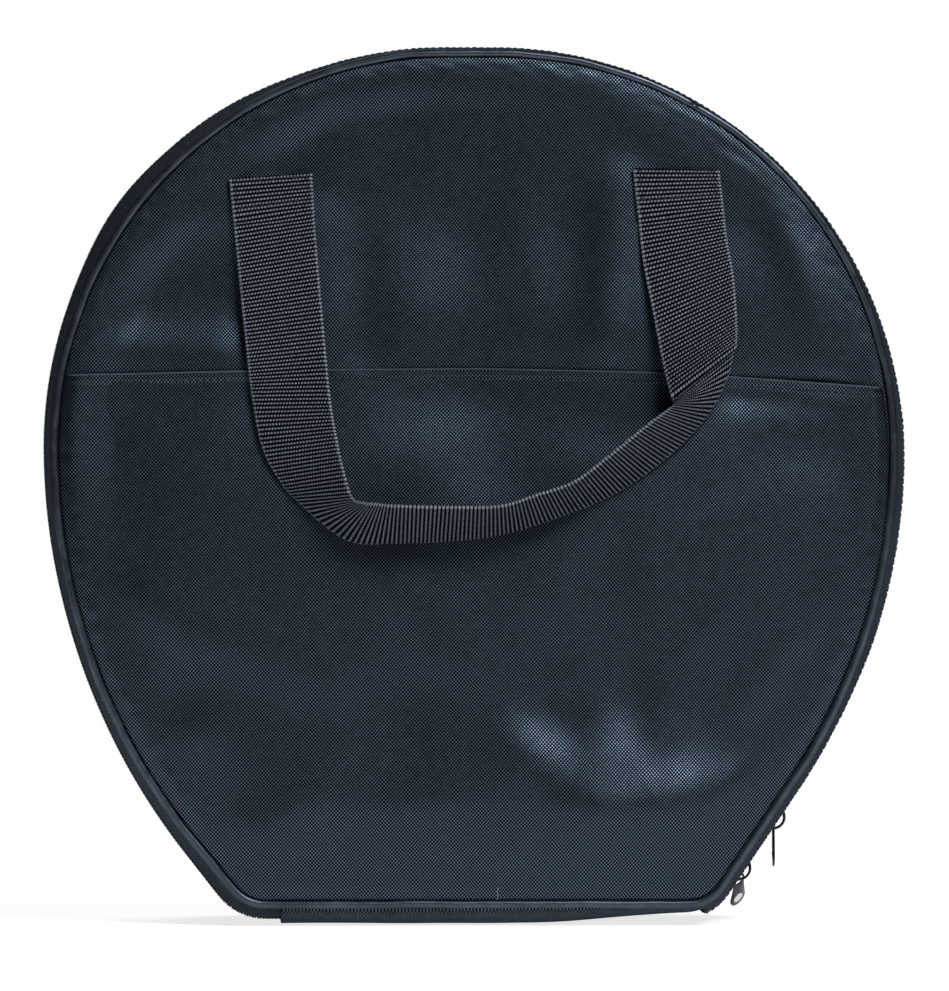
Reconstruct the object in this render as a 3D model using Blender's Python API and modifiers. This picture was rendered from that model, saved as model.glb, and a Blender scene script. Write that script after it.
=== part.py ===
"""A soft bag for a snare drum, standing on its base: two round-topped panels, a gusset with a zip, piping,
a slip pocket, and a webbing handle on each face. Metres, +Z up. The front faces -Y, and the origin is the
middle of the base on the ground."""

import math

import bmesh
import bpy
from mathutils import Matrix, Vector

MM = 0.001
FRONT = -1
BACK = 1
CLEARANCE = 0.3 * MM

# Outline of a panel: two shoulder arcs above its widest height, a flatter hip arc below it on each side, and
# a small arc at each end of the base, with a straight run above each that is a share of the way up
SHOULDER_RADIUS = 176 * MM
SHOULDER_SPREAD = 11 * MM
WIDEST_HEIGHT = 213 * MM
RIGHT_STRAIGHT_SHARE = 0.2762
LEFT_STRAIGHT_SHARE = 0.1148
CORNER_RADIUS = 18 * MM
BASE_HALF_LENGTH = 94 * MM
BASE_SHIFT = 1 * MM
SHOULDER_STEPS = 12
HIP_STEPS = 6
CORNER_STEPS = 6
TURN_HALVINGS = 50

# Gusset, which stands out past the panels by its bulge
DEPTH = 150 * MM
BULGE = 10 * MM
BULGE_ROUNDING = 24 * MM
BULGE_STEPS = 4
GUSSET_WALL = 3 * MM
SEAM_ALLOWANCE = 3.5 * MM

# Panels, padding and piping
PANEL_THICKNESS = 1 * MM
PADDING_THICKNESS = 2.7 * MM
PIPING_RADIUS = 1.9 * MM

# Slip pocket on the front
POCKET_ABOVE_WIDEST = 31 * MM
POCKET_GAPE = 5.6 * MM
POCKET_RISE = 32 * MM
POCKET_WALL = 0.9 * MM
POCKET_COLUMNS = 16
POCKET_ROWS = 12
POCKET_ROW_CROWDING = 1.8

# Zip
ZIP_SLOT_HALF_WIDTH = 5.6 * MM
TAPE_HALF_WIDTH = 13 * MM
TAPE_THICKNESS = 0.8 * MM
TEETH_INNER = 0.95 * MM
TEETH_OUTER = 3.5 * MM
TEETH_THICKNESS = 1.6 * MM

# Zip sliders
SLIDER_LENGTH = 13 * MM
SLIDER_NOSE_HALF_WIDTH = 4.9 * MM
SLIDER_TAIL_HALF_WIDTH = 3.6 * MM
SLIDER_PLATE = 1.1 * MM
SLIDER_GAP_ABOVE = 0.9 * MM
SLIDER_GAP_BELOW = 0.5 * MM
SLIDER_POST_HALF_WIDTH = 0.55 * MM
SLIDER_POST_LENGTH = 4 * MM
BRIDGE_REACH = 5 * MM
BRIDGE_WIRE_RADIUS = 0.65 * MM
BRIDGE_STEPS = 10
LOWER_SLIDER_ALONG = 8 * MM
SLIDER_SPACING = 28 * MM

# Zip pulls
PULL_LENGTH = 17.5 * MM
PULL_THICKNESS = 1 * MM
PULL_TIP_RADIUS = 4.5 * MM
PULL_HEAD_HALF_WIDTH = 3.5 * MM
PULL_HEAD_RADIUS = 1.6 * MM
PULL_WINDOW_HALF_WIDTH = 2.4 * MM
PULL_WINDOW_HEIGHT = 3.4 * MM
PULL_BAR_HEIGHT = 1.2 * MM
PULL_SLACK = 0.9 * MM
PULL_ARC_STEPS = 8
LOWER_PULL_YAW = math.radians(48)
LOWER_PULL_LEAN = math.radians(48)

# Webbing handles
WEBBING_WIDTH = 38 * MM
WEBBING_THICKNESS = 1.6 * MM
HANDLE_HALF_SPREAD = 90 * MM
HANDLE_BELOW_TOP = 76 * MM
HANDLE_DROP = 135 * MM
HANDLE_TURN = math.radians(60)
HANDLE_END_LENGTH = 22 * MM
HANDLE_REST_GAP = 0.4 * MM
HANDLE_STEPS_PER_POINT = 3

# Route of the hanging loop: across, down and out as shares of the half spread, the drop and the stand-off,
# then how much of the full turn the webbing has made there
HANDLE_ROUTE_SHARES = (
    (-1.00, 0.00, 0.00, 0.00),
    (-0.97, 0.19, 0.30, 0.00),
    (-0.93, 0.46, 0.60, 0.05),
    (-0.88, 0.68, 0.80, 0.20),
    (-0.77, 0.85, 0.95, 0.55),
    (-0.60, 0.96, 1.00, 0.90),
    (-0.37, 1.00, 1.00, 1.00),
    (-0.12, 1.00, 1.00, 1.00),
    (0.12, 0.98, 1.00, 1.00),
    (0.37, 0.94, 1.00, 1.00),
    (0.61, 0.86, 1.00, 1.00),
    (0.83, 0.75, 1.00, 0.95),
    (1.02, 0.61, 0.95, 0.75),
    (1.11, 0.46, 0.80, 0.45),
    (1.09, 0.31, 0.60, 0.20),
    (1.03, 0.16, 0.35, 0.05),
    (1.00, 0.00, 0.00, 0.00),
)

# Derived places
HALF_DEPTH = DEPTH / 2
HALF_WIDTH = SHOULDER_RADIUS + SHOULDER_SPREAD
TOP_HEIGHT = WIDEST_HEIGHT + SHOULDER_RADIUS
POCKET_HEIGHT = WIDEST_HEIGHT + POCKET_ABOVE_WIDEST
HANDLE_HEIGHT = TOP_HEIGHT - HANDLE_BELOW_TOP
PANEL_INSET = PIPING_RADIUS + CLEARANCE
PADDING_OUTER_DEPTH = HALF_DEPTH - PANEL_THICKNESS - CLEARANCE
PADDING_INNER_DEPTH = PADDING_OUTER_DEPTH - PADDING_THICKNESS
GUSSET_EDGE_DEPTH = PADDING_INNER_DEPTH - CLEARANCE
PIPING_DEPTH = HALF_DEPTH - PIPING_RADIUS + CLEARANCE
BASE_RISE = BULGE
TAPE_TOP = BULGE - GUSSET_WALL - CLEARANCE
TEETH_BOTTOM = TAPE_TOP + CLEARANCE
TEETH_TOP = TEETH_BOTTOM + TEETH_THICKNESS
TAPE_BOTTOM = TAPE_TOP - TAPE_THICKNESS
POCKET_REACH = CLEARANCE + POCKET_GAPE + POCKET_WALL
HANDLE_END_DEPTH = HALF_DEPTH + CLEARANCE + WEBBING_THICKNESS / 2
HANDLE_PIVOT_DEPTH = HANDLE_END_DEPTH + WEBBING_THICKNESS / 2
HANDLE_HALF_REACH = (WEBBING_WIDTH * math.sin(HANDLE_TURN) + WEBBING_THICKNESS * math.cos(HANDLE_TURN)) / 2
HANDLE_STAND_OFF = HALF_DEPTH + POCKET_REACH + HANDLE_REST_GAP + HANDLE_HALF_REACH - HANDLE_END_DEPTH
SLIDER_TOP_PLATE_BOTTOM = TEETH_TOP + SLIDER_GAP_ABOVE
SLIDER_BOTTOM_PLATE_TOP = TAPE_BOTTOM - SLIDER_GAP_BELOW


def new_material(name, colour, roughness, metallic=0.0):
    material = bpy.data.materials.new(name)
    material.use_nodes = True
    shader = material.node_tree.nodes["Principled BSDF"]
    shader.inputs["Base Color"].default_value = (*colour, 1.0)
    shader.inputs["Roughness"].default_value = roughness
    shader.inputs["Metallic"].default_value = metallic
    return material


def add_object(name, data, material, collection):
    obj = bpy.data.objects.new(name, data)
    if material is not None:
        data.materials.append(material)
    collection.objects.link(obj)
    return obj


def mesh_from(name, bm):
    bmesh.ops.recalc_face_normals(bm, faces=bm.faces)
    mesh = bpy.data.meshes.new(name)
    bm.to_mesh(mesh)
    bm.free()
    mesh.shade_smooth()
    mesh.set_sharp_from_angle(angle=math.radians(40))
    return mesh


class Outline:
    """A ring of arcs that meet without a corner. A station is an arc's centre, its radius and an angle on it."""

    def __init__(self):
        self.right_shoulder = Vector((SHOULDER_SPREAD, WIDEST_HEIGHT))
        self.left_shoulder = Vector((-SHOULDER_SPREAD, WIDEST_HEIGHT))
        corner_height = BASE_RISE + CORNER_RADIUS
        self.right = Vector((BASE_SHIFT + BASE_HALF_LENGTH, corner_height))
        self.left = Vector((BASE_SHIFT - BASE_HALF_LENGTH, corner_height))
        self.right_hip, self.right_hip_radius, right_turn = self.hip(
            self.right, 1, RIGHT_STRAIGHT_SHARE
        )
        self.left_hip, self.left_hip_radius, left_turn = self.hip(self.left, -1, LEFT_STRAIGHT_SHARE)
        self.right_angle = -right_turn
        self.left_angle = math.pi + left_turn

    def hip(self, corner, side, straight_share):
        """The arc that leaves the widest point upright and turns until a straight run takes it to the corner's
        arc: its centre, its radius and how far it turns."""
        widest = Vector((side * HALF_WIDTH, WIDEST_HEIGHT))
        way = corner - widest
        least, most = 0.0, math.pi / 2
        for _ in range(TURN_HALVINGS):
            turn = (least + most) / 2
            normal = Vector((side * math.cos(turn), -math.sin(turn)))
            downward = Vector((-side * math.sin(turn), -math.cos(turn)))
            radius = (way.dot(normal) + CORNER_RADIUS) / (1 - math.cos(turn))
            straight = way.dot(downward) - radius * math.sin(turn)
            if radius <= 0 or straight > straight_share * way.length:
                least = turn
            else:
                most = turn
        return widest - Vector((side * radius, 0.0)), radius, turn

    def arc(self, centre, radius, start, end, steps):
        return [(centre, radius, start + (end - start) * i / steps) for i in range(steps + 1)]

    def sides(self):
        """From the right end of the base, up, over the top and down to its left end."""
        return (
            self.arc(self.right, CORNER_RADIUS, -math.pi / 2, self.right_angle, CORNER_STEPS)
            + self.arc(self.right_hip, self.right_hip_radius, self.right_angle, 0.0, HIP_STEPS)
            + self.arc(self.right_shoulder, SHOULDER_RADIUS, 0.0, math.pi / 2, SHOULDER_STEPS)[1:]
            + self.arc(self.left_shoulder, SHOULDER_RADIUS, math.pi / 2, math.pi, SHOULDER_STEPS)
            + self.arc(self.left_hip, self.left_hip_radius, math.pi, self.left_angle, HIP_STEPS)[1:]
            + self.arc(self.left, CORNER_RADIUS, self.left_angle, 1.5 * math.pi, CORNER_STEPS)
        )

    def base(self):
        return [
            (self.left + Vector((CLEARANCE, 0.0)), CORNER_RADIUS, 1.5 * math.pi),
            (self.right - Vector((CLEARANCE, 0.0)), CORNER_RADIUS, 1.5 * math.pi),
        ]

    def point(self, station, offset):
        centre, radius, angle = station
        return centre + (radius + offset) * Vector((math.cos(angle), math.sin(angle)))

    def ring(self, offset):
        return [self.point(station, offset) for station in self.sides()]

    def span_at(self, height, offset):
        """The outline's left and right ends at a height."""
        ring = self.ring(offset)
        crossings = []
        for a, b in zip(ring, ring[1:] + ring[:1]):
            if (a.y - height) * (b.y - height) < 0:
                crossings.append(a.x + (b.x - a.x) * (height - a.y) / (b.y - a.y))
        return min(crossings), max(crossings)

    def straight_point(self, along, offset):
        """A point on the zip's straight run above the right corner, and the outward direction there."""
        normal = Vector((math.cos(self.right_angle), math.sin(self.right_angle)))
        upward = Vector((-normal.y, normal.x))
        start = self.right + (CORNER_RADIUS + offset) * normal
        return start + along * upward, normal


class Bag:
    def __init__(self):
        self.outline = Outline()
        self.parts = self.new_collection("Snare drum bag")
        self.cutters = self.new_collection("Shapes joined into others")
        self.cutters.hide_render = True
        self.nylon = new_material("Woven nylon", (0.016, 0.022, 0.030), 0.75)
        self.foam = new_material("Foam padding", (0.05, 0.05, 0.055), 0.9)
        self.vinyl = new_material("Vinyl piping", (0.035, 0.045, 0.06), 0.35)
        self.webbing = new_material("Webbing", (0.028, 0.029, 0.036), 0.7)
        self.tape = new_material("Zip tape", (0.010, 0.010, 0.012), 0.85)
        self.teeth = new_material("Zip teeth", (0.02, 0.02, 0.022), 0.4)
        self.metal = new_material("Black nickel", (0.08, 0.08, 0.085), 0.25, 1.0)

    def new_collection(self, name):
        collection = bpy.data.collections.new(name)
        bpy.context.scene.collection.children.link(collection)
        return collection

    def build(self):
        for side, label in ((FRONT, "front"), (BACK, "back")):
            self.panel(label, side)
            self.piping(label, side)
            self.gusset(label, side)
            self.zip_half(label, side)
            self.handle(label, side)
        self.pocket()
        self.slider("lower", LOWER_SLIDER_ALONG, LOWER_PULL_YAW, LOWER_PULL_LEAN)
        self.slider("upper", LOWER_SLIDER_ALONG + SLIDER_SPACING, 0.0, 0.0)

    def flat_piece(self, name, loops, thickness, material, collection=None):
        """A flat outline, the first loop, with the other loops as holes, in the XY plane of its object."""
        curve = bpy.data.curves.new(name, "CURVE")
        curve.dimensions = "2D"
        curve.fill_mode = "BOTH"
        curve.extrude = thickness / 2
        for loop in loops:
            spline = curve.splines.new("POLY")
            spline.points.add(len(loop) - 1)
            for point, place in zip(spline.points, loop):
                point.co = (place[0], place[1], 0.0, 1.0)
            spline.use_cyclic_u = True
        return add_object(name, curve, material, collection or self.parts)

    def stand_up(self, obj, depth):
        """Turns a flat piece drawn in X and Y to stand in X and Z, centred on this depth."""
        obj.rotation_euler = (math.pi / 2, 0.0, 0.0)
        obj.location = (0.0, depth, 0.0)

    def panel(self, label, side):
        ring = self.outline.ring(-PANEL_INSET)
        panel = self.flat_piece(f"{label}_panel", [ring], PANEL_THICKNESS, self.nylon)
        self.stand_up(panel, side * (HALF_DEPTH - PANEL_THICKNESS / 2))
        padding = self.flat_piece(f"{label}_padding", [ring], PADDING_THICKNESS, self.foam)
        self.stand_up(padding, side * (PADDING_OUTER_DEPTH - PADDING_THICKNESS / 2))

    def piping(self, label, side):
        curve = bpy.data.curves.new(f"{label}_piping", "CURVE")
        curve.dimensions = "3D"
        curve.bevel_depth = PIPING_RADIUS
        curve.bevel_resolution = 2
        ring = self.outline.ring(0.0)
        spline = curve.splines.new("POLY")
        spline.points.add(len(ring) - 1)
        for point, place in zip(spline.points, ring):
            point.co = (place.x, side * PIPING_DEPTH, place.y, 1.0)
        spline.use_cyclic_u = True
        add_object(f"{label}_piping", curve, self.vinyl, self.parts)

    def swept(self, name, section, stations, side, material):
        """A solid strip along the outline. The section's points are (depth, offset), going round it once."""
        bm = bmesh.new()
        rings = []
        for station in stations:
            ring = []
            for depth, offset in section:
                place = self.outline.point(station, offset)
                ring.append(bm.verts.new((place.x, side * depth, place.y)))
            rings.append(ring)
        count = len(section)
        for a, b in zip(rings, rings[1:]):
            for i in range(count):
                j = (i + 1) % count
                bm.faces.new((a[i], a[j], b[j], b[i]))
        bm.faces.new(rings[0])
        bm.faces.new(rings[-1])
        return add_object(name, mesh_from(name, bm), material, self.parts)

    def gusset_section(self, inner_depth):
        """From the seam, round the bulge and across to the inner depth, then back along the inside."""
        rounding = BULGE_ROUNDING
        centre = GUSSET_EDGE_DEPTH - rounding
        outer = []
        inner = []
        for i in range(BULGE_STEPS + 1):
            angle = 0.5 * math.pi * i / BULGE_STEPS
            outer.append((centre + rounding * math.cos(angle), BULGE * math.sin(angle)))
            inner.append(
                (
                    centre + (rounding - GUSSET_WALL) * math.cos(angle),
                    (BULGE - GUSSET_WALL) * math.sin(angle),
                )
            )
        outer.append((inner_depth, BULGE))
        inner.append((inner_depth, BULGE - GUSSET_WALL))
        turned_in = [
            (GUSSET_EDGE_DEPTH - GUSSET_WALL, -SEAM_ALLOWANCE),
            (GUSSET_EDGE_DEPTH, -SEAM_ALLOWANCE),
        ]
        return outer + inner[::-1] + turned_in

    def gusset(self, label, side):
        sides = self.outline.sides()
        self.swept(
            f"{label}_side_gusset", self.gusset_section(ZIP_SLOT_HALF_WIDTH), sides, side, self.nylon
        )
        self.swept(
            f"{label}_base_gusset",
            self.gusset_section(CLEARANCE / 2),
            self.outline.base(),
            side,
            self.nylon,
        )

    def zip_half(self, label, side):
        def strip(near, far, low, high):
            return [(near, low), (far, low), (far, high), (near, high)]

        sides = self.outline.sides()
        tape = strip(TEETH_INNER, TAPE_HALF_WIDTH, TAPE_BOTTOM, TAPE_TOP)
        self.swept(f"{label}_zip_tape", tape, sides, side, self.tape)
        teeth = strip(TEETH_INNER, TEETH_OUTER, TEETH_BOTTOM, TEETH_TOP)
        self.swept(f"{label}_zip_teeth", teeth, sides, side, self.teeth)

    def pocket(self):
        """A sheet that lies close to the panel along its sides and bottom and stands off it elsewhere."""
        inset = PANEL_INSET + CLEARANCE
        bottom = BASE_RISE + inset + CLEARANCE
        bm = bmesh.new()
        rows = []
        for r in range(POCKET_ROWS + 1):
            height = bottom + (POCKET_HEIGHT - bottom) * (1 - r / POCKET_ROWS) ** POCKET_ROW_CROWDING
            left, right = self.outline.span_at(height, -inset)
            row = []
            for c in range(POCKET_COLUMNS + 1):
                across = 0.5 - 0.5 * math.cos(math.pi * c / POCKET_COLUMNS)
                x = left + (right - left) * across
                from_edge = min(x - left, right - x, height - bottom)
                share = min(1.0, from_edge / POCKET_RISE)
                stand_off = POCKET_GAPE * share * share * (3 - 2 * share)
                row.append(bm.verts.new((x, -HALF_DEPTH - CLEARANCE - stand_off, height)))
            rows.append(row)
        for a, b in zip(rows, rows[1:]):
            for i in range(POCKET_COLUMNS):
                bm.faces.new((a[i], b[i], b[i + 1], a[i + 1]))
        pocket = add_object("front_pocket", mesh_from("front_pocket", bm), self.nylon, self.parts)
        wall = pocket.modifiers.new("Wall", "SOLIDIFY")
        wall.thickness = POCKET_WALL
        wall.offset = 1.0

    def handle(self, label, side):
        pivot = Vector((0.0, side * HANDLE_PIVOT_DEPTH, HANDLE_HEIGHT))
        for x, name in ((-HANDLE_HALF_SPREAD, "left"), (HANDLE_HALF_SPREAD, "right")):
            low = HANDLE_HEIGHT + CLEARANCE / 2
            corners = [
                (x - WEBBING_WIDTH / 2, low),
                (x + WEBBING_WIDTH / 2, low),
                (x + WEBBING_WIDTH / 2, low + HANDLE_END_LENGTH),
                (x - WEBBING_WIDTH / 2, low + HANDLE_END_LENGTH),
            ]
            end = self.flat_piece(
                f"{label}_handle_{name}_end", [corners], WEBBING_THICKNESS, self.webbing
            )
            self.stand_up(end, side * HANDLE_END_DEPTH)
        loop = add_object(
            f"{label}_handle_loop", self.loop_mesh(label, side), self.webbing, self.parts
        )
        loop.location = pivot

    def loop_mesh(self, label, side):
        """The webbing between the sewn ends, from its pivot on their outer lower edges: a thin section that
        turns as it goes."""
        start = CLEARANCE / 2
        route = [
            (
                across * HANDLE_HALF_SPREAD,
                HANDLE_END_DEPTH - HANDLE_PIVOT_DEPTH + out * HANDLE_STAND_OFF,
                -start - down * (HANDLE_DROP - start),
                turn * HANDLE_TURN,
            )
            for across, down, out, turn in HANDLE_ROUTE_SHARES
        ]
        stations = smooth_route(route, HANDLE_STEPS_PER_POINT)
        bm = bmesh.new()
        rings = []
        for i, (x, out, z, turn) in enumerate(stations):
            before = stations[max(i - 1, 0)]
            after = stations[min(i + 1, len(stations) - 1)]
            tangent = Vector((after[0] - before[0], 0.0, after[2] - before[2])).normalized()
            if i in (0, len(stations) - 1):
                tangent = Vector((0.0, 0.0, -1.0 if i == 0 else 1.0))
            inward = Vector((-tangent.z, 0.0, tangent.x))
            width = math.cos(turn) * inward + math.sin(turn) * Vector((0.0, side, 0.0))
            normal = tangent.cross(width)
            middle = Vector((x, side * out, z))
            ring = []
            for across, through in ((-1, -1), (1, -1), (1, 1), (-1, 1)):
                place = (
                    middle
                    + across * width * WEBBING_WIDTH / 2
                    + through * normal * WEBBING_THICKNESS / 2
                )
                ring.append(bm.verts.new(place))
            rings.append(ring)
        for a, b in zip(rings, rings[1:]):
            for i in range(4):
                j = (i + 1) % 4
                bm.faces.new((a[i], a[j], b[j], b[i]))
        bm.faces.new(rings[0])
        bm.faces.new(rings[-1])
        return mesh_from(f"{label}_handle_loop", bm)

    def slider(self, label, along, pull_yaw, pull_lean):
        """A slider on the zip's straight run. Its own +X runs down the zip and its +Z away from the bag."""
        place, normal = self.outline.straight_point(along, 0.0)
        frame = bpy.data.objects.new(f"{label}_slider_place", None)
        frame.location = (place.x, 0.0, place.y)
        frame.rotation_euler = (0.0, math.atan2(normal.x, normal.y), 0.0)
        self.parts.objects.link(frame)
        slider = self.slider_body(label)
        slider.parent = frame
        hook = self.hook_point()
        bpy.context.view_layer.update()
        pull = self.pull(label)
        pull.rotation_mode = "QUATERNION"
        turn = Matrix.Rotation(pull_lean, 4, "X") @ Matrix.Rotation(math.pi / 2 - pull_yaw, 4, "Z")
        pull.location = frame.matrix_world @ Vector((hook.x, 0.0, hook.y))
        pull.rotation_quaternion = turn.to_quaternion()

    def slider_body(self, label):
        tail = -SLIDER_LENGTH / 2
        nose = SLIDER_LENGTH / 2
        shoulder = nose - SLIDER_NOSE_HALF_WIDTH / 2
        plate = [
            (tail, -SLIDER_TAIL_HALF_WIDTH),
            (shoulder, -SLIDER_NOSE_HALF_WIDTH),
            (nose, -SLIDER_NOSE_HALF_WIDTH / 2),
            (nose, SLIDER_NOSE_HALF_WIDTH / 2),
            (shoulder, SLIDER_NOSE_HALF_WIDTH),
            (tail, SLIDER_TAIL_HALF_WIDTH),
        ]
        top = self.plain_mesh(
            self.flat_piece(f"{label}_zip_slider", [plate], SLIDER_PLATE, self.metal),
            Vector((0.0, 0.0, SLIDER_TOP_PLATE_BOTTOM + SLIDER_PLATE / 2)),
        )
        bottom = self.plain_mesh(
            self.flat_piece(f"{label}_slider_bottom", [plate], SLIDER_PLATE, None, self.cutters),
            Vector((0.0, 0.0, SLIDER_BOTTOM_PLATE_TOP - SLIDER_PLATE / 2)),
        )
        post_low = SLIDER_BOTTOM_PLATE_TOP - SLIDER_PLATE / 2
        post_high = SLIDER_TOP_PLATE_BOTTOM + SLIDER_PLATE / 2
        post_outline = [
            (nose - SLIDER_POST_LENGTH, -SLIDER_POST_HALF_WIDTH),
            (nose - SLIDER_PLATE, -SLIDER_POST_HALF_WIDTH),
            (nose - SLIDER_PLATE, SLIDER_POST_HALF_WIDTH),
            (nose - SLIDER_POST_LENGTH, SLIDER_POST_HALF_WIDTH),
        ]
        post = self.plain_mesh(
            self.flat_piece(
                f"{label}_slider_post", [post_outline], post_high - post_low, None, self.cutters
            ),
            Vector((0.0, 0.0, (post_low + post_high) / 2)),
        )
        bridge = self.plain_mesh(self.bridge_wire(label), Vector())
        for piece in (bottom, post, bridge):
            piece.hide_render = True
            piece.display_type = "WIRE"
            join = top.modifiers.new(f"Join {piece.name}", "BOOLEAN")
            join.operation = "UNION"
            join.object = piece
        self.join_in_place(top)
        return top

    def join_in_place(self, obj):
        """Makes the joined shape the object's own mesh and removes the shapes it took in."""
        bpy.context.view_layer.update()
        graph = bpy.context.evaluated_depsgraph_get()
        joined = bpy.data.meshes.new_from_object(obj.evaluated_get(graph))
        taken_in = [modifier.object for modifier in obj.modifiers]
        obj.modifiers.clear()
        obj.data = joined
        for piece in taken_in:
            bpy.data.objects.remove(piece)

    def plain_mesh(self, obj, shift):
        """The curve object made a mesh, welded at its caps and moved within its own frame."""
        bpy.context.view_layer.update()
        graph = bpy.context.evaluated_depsgraph_get()
        mesh = bpy.data.meshes.new_from_object(obj.evaluated_get(graph))
        bm = bmesh.new()
        bm.from_mesh(mesh)
        bmesh.ops.remove_doubles(bm, verts=bm.verts, dist=CLEARANCE / 100)
        bmesh.ops.translate(bm, verts=bm.verts, vec=shift)
        bmesh.ops.recalc_face_normals(bm, faces=bm.faces)
        bm.to_mesh(mesh)
        bm.free()
        mesh.set_sharp_from_angle(angle=math.radians(40))
        name = obj.name
        collection = obj.users_collection[0]
        bpy.data.objects.remove(obj)
        plain = bpy.data.objects.new(name, mesh)
        collection.objects.link(plain)
        return plain

    def bridge_base(self):
        return SLIDER_TOP_PLATE_BOTTOM + SLIDER_PLATE

    def bridge_wire(self, label):
        """Half a ring of wire along the slider, with both feet sunk in the top plate."""
        curve = bpy.data.curves.new(f"{label}_slider_bridge", "CURVE")
        curve.dimensions = "3D"
        curve.bevel_depth = BRIDGE_WIRE_RADIUS
        curve.bevel_resolution = 2
        curve.use_fill_caps = True
        foot = SLIDER_PLATE / 2
        places = [(BRIDGE_REACH, -foot)]
        for i in range(BRIDGE_STEPS + 1):
            angle = math.pi * i / BRIDGE_STEPS
            places.append((BRIDGE_REACH * math.cos(angle), BRIDGE_REACH * math.sin(angle)))
        places.append((-BRIDGE_REACH, -foot))
        spline = curve.splines.new("POLY")
        spline.points.add(len(places) - 1)
        for point, (x, z) in zip(spline.points, places):
            point.co = (x, 0.0, self.bridge_base() + z, 1.0)
        return add_object(curve.name, curve, None, self.cutters)

    def hook_point(self):
        """The lowest place on the bridge's wire as the slider stands on the slanting zip, from the slider."""
        slant = self.outline.right_angle
        return Vector((0.0, self.bridge_base())) + BRIDGE_REACH * Vector(
            (math.cos(slant), -math.sin(slant))
        )

    def pull(self, label):
        """A tab that hangs from its own origin, which is the middle of the wire through its window."""
        bar = BRIDGE_WIRE_RADIUS + PULL_SLACK
        head_top = bar + PULL_BAR_HEIGHT
        window_bottom = bar - PULL_WINDOW_HEIGHT
        tip_centre = -PULL_LENGTH + PULL_TIP_RADIUS
        tip = [
            (
                PULL_TIP_RADIUS * math.cos(math.pi + math.pi * i / PULL_ARC_STEPS),
                tip_centre + PULL_TIP_RADIUS * math.sin(math.pi + math.pi * i / PULL_ARC_STEPS),
            )
            for i in range(PULL_ARC_STEPS + 1)
        ]
        head = []
        for corner in (1, -1):
            for i in range(PULL_ARC_STEPS // 2 + 1):
                share = i / (PULL_ARC_STEPS // 2)
                angle = 0.5 * math.pi * (share if corner == 1 else 1 + share)
                head.append(
                    (
                        corner * (PULL_HEAD_HALF_WIDTH - PULL_HEAD_RADIUS)
                        + PULL_HEAD_RADIUS * math.cos(angle),
                        head_top - PULL_HEAD_RADIUS + PULL_HEAD_RADIUS * math.sin(angle),
                    )
                )
        window = [
            (-PULL_WINDOW_HALF_WIDTH, window_bottom),
            (PULL_WINDOW_HALF_WIDTH, window_bottom),
            (PULL_WINDOW_HALF_WIDTH, bar),
            (-PULL_WINDOW_HALF_WIDTH, bar),
        ]
        tab = self.flat_piece(
            f"{label}_zip_pull", [tip + head, window], PULL_THICKNESS, self.metal
        )
        upright = self.plain_mesh(tab, Vector())
        upright.data.transform(Matrix.Rotation(math.pi / 2, 4, "X"))
        upright.data.materials.append(self.metal)
        return upright


def smooth_route(points, steps):
    """Points along a smooth curve through the given ones."""
    ends = [points[0]] + list(points) + [points[-1]]
    smooth = []
    for i in range(1, len(ends) - 2):
        p0, p1, p2, p3 = ends[i - 1 : i + 3]
        for s in range(steps):
            t = s / steps
            smooth.append(
                tuple(
                    0.5
                    * (
                        2 * b
                        + (c - a) * t
                        + (2 * a - 5 * b + 4 * c - d) * t**2
                        + (3 * b - a - 3 * c + d) * t**3
                    )
                    for a, b, c, d in zip(p0, p1, p2, p3)
                )
            )
    smooth.append(tuple(points[-1]))
    return smooth


def clear_scene():
    for obj in list(bpy.data.objects):
        bpy.data.objects.remove(obj)


clear_scene()
Bag().build()
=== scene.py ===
"""A soft bag for a snare drum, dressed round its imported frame. Metres, +Z up. The front faces -Y, and the
origin is the middle of the base on the ground."""

import math
import random

import bmesh
import bpy
import numpy as np
from mathutils import Matrix, Vector


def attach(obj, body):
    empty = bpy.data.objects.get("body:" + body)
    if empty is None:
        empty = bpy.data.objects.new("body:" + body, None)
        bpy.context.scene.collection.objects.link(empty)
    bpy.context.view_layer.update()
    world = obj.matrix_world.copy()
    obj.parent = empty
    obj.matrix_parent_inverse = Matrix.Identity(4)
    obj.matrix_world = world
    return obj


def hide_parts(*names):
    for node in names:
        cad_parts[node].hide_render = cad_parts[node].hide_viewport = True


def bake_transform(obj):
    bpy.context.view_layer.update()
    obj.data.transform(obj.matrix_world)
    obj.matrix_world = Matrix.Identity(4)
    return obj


MM = 0.001
FRONT = -1
BACK = 1

# Outline of the panels, as in the frame
HALF_WIDTH = 187 * MM
WIDEST_HEIGHT = 213 * MM
SHOULDER_RADIUS = 176 * MM
RIGHT_HIP_TURN = math.radians(34)
LEFT_HIP_TURN = math.radians(40)
CORNER_RADIUS = 18 * MM
BASE_HALF_LENGTH = 94 * MM
BASE_SHIFT = 1 * MM
BASE_RISE = 10 * MM
ZIP_START = 8 * MM
ZIP_OVERRUN = 10 * MM
OUTLINE_STEP = 1 * MM

# Depths from the middle of the bag
HALF_DEPTH = 75 * MM
GUSSET_EDGE = 70.7 * MM
PIPING_RADIUS = 1.9 * MM
PIPING_DEPTH = HALF_DEPTH - PIPING_RADIUS + 0.3 * MM
PAD_CENTRE = (0.0, 0.2)
PAD_EDGE = 2.2 * MM
PAD_THICKNESS = 3.4 * MM
SEAM_ALLOWANCE = 3.2 * MM
POCKET_HEIGHT = 244.5 * MM
POCKET_EDGE = 2.3 * MM
HEM_LINE = 3.6 * MM
HINGE_HEIGHT = 313 * MM

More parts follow.
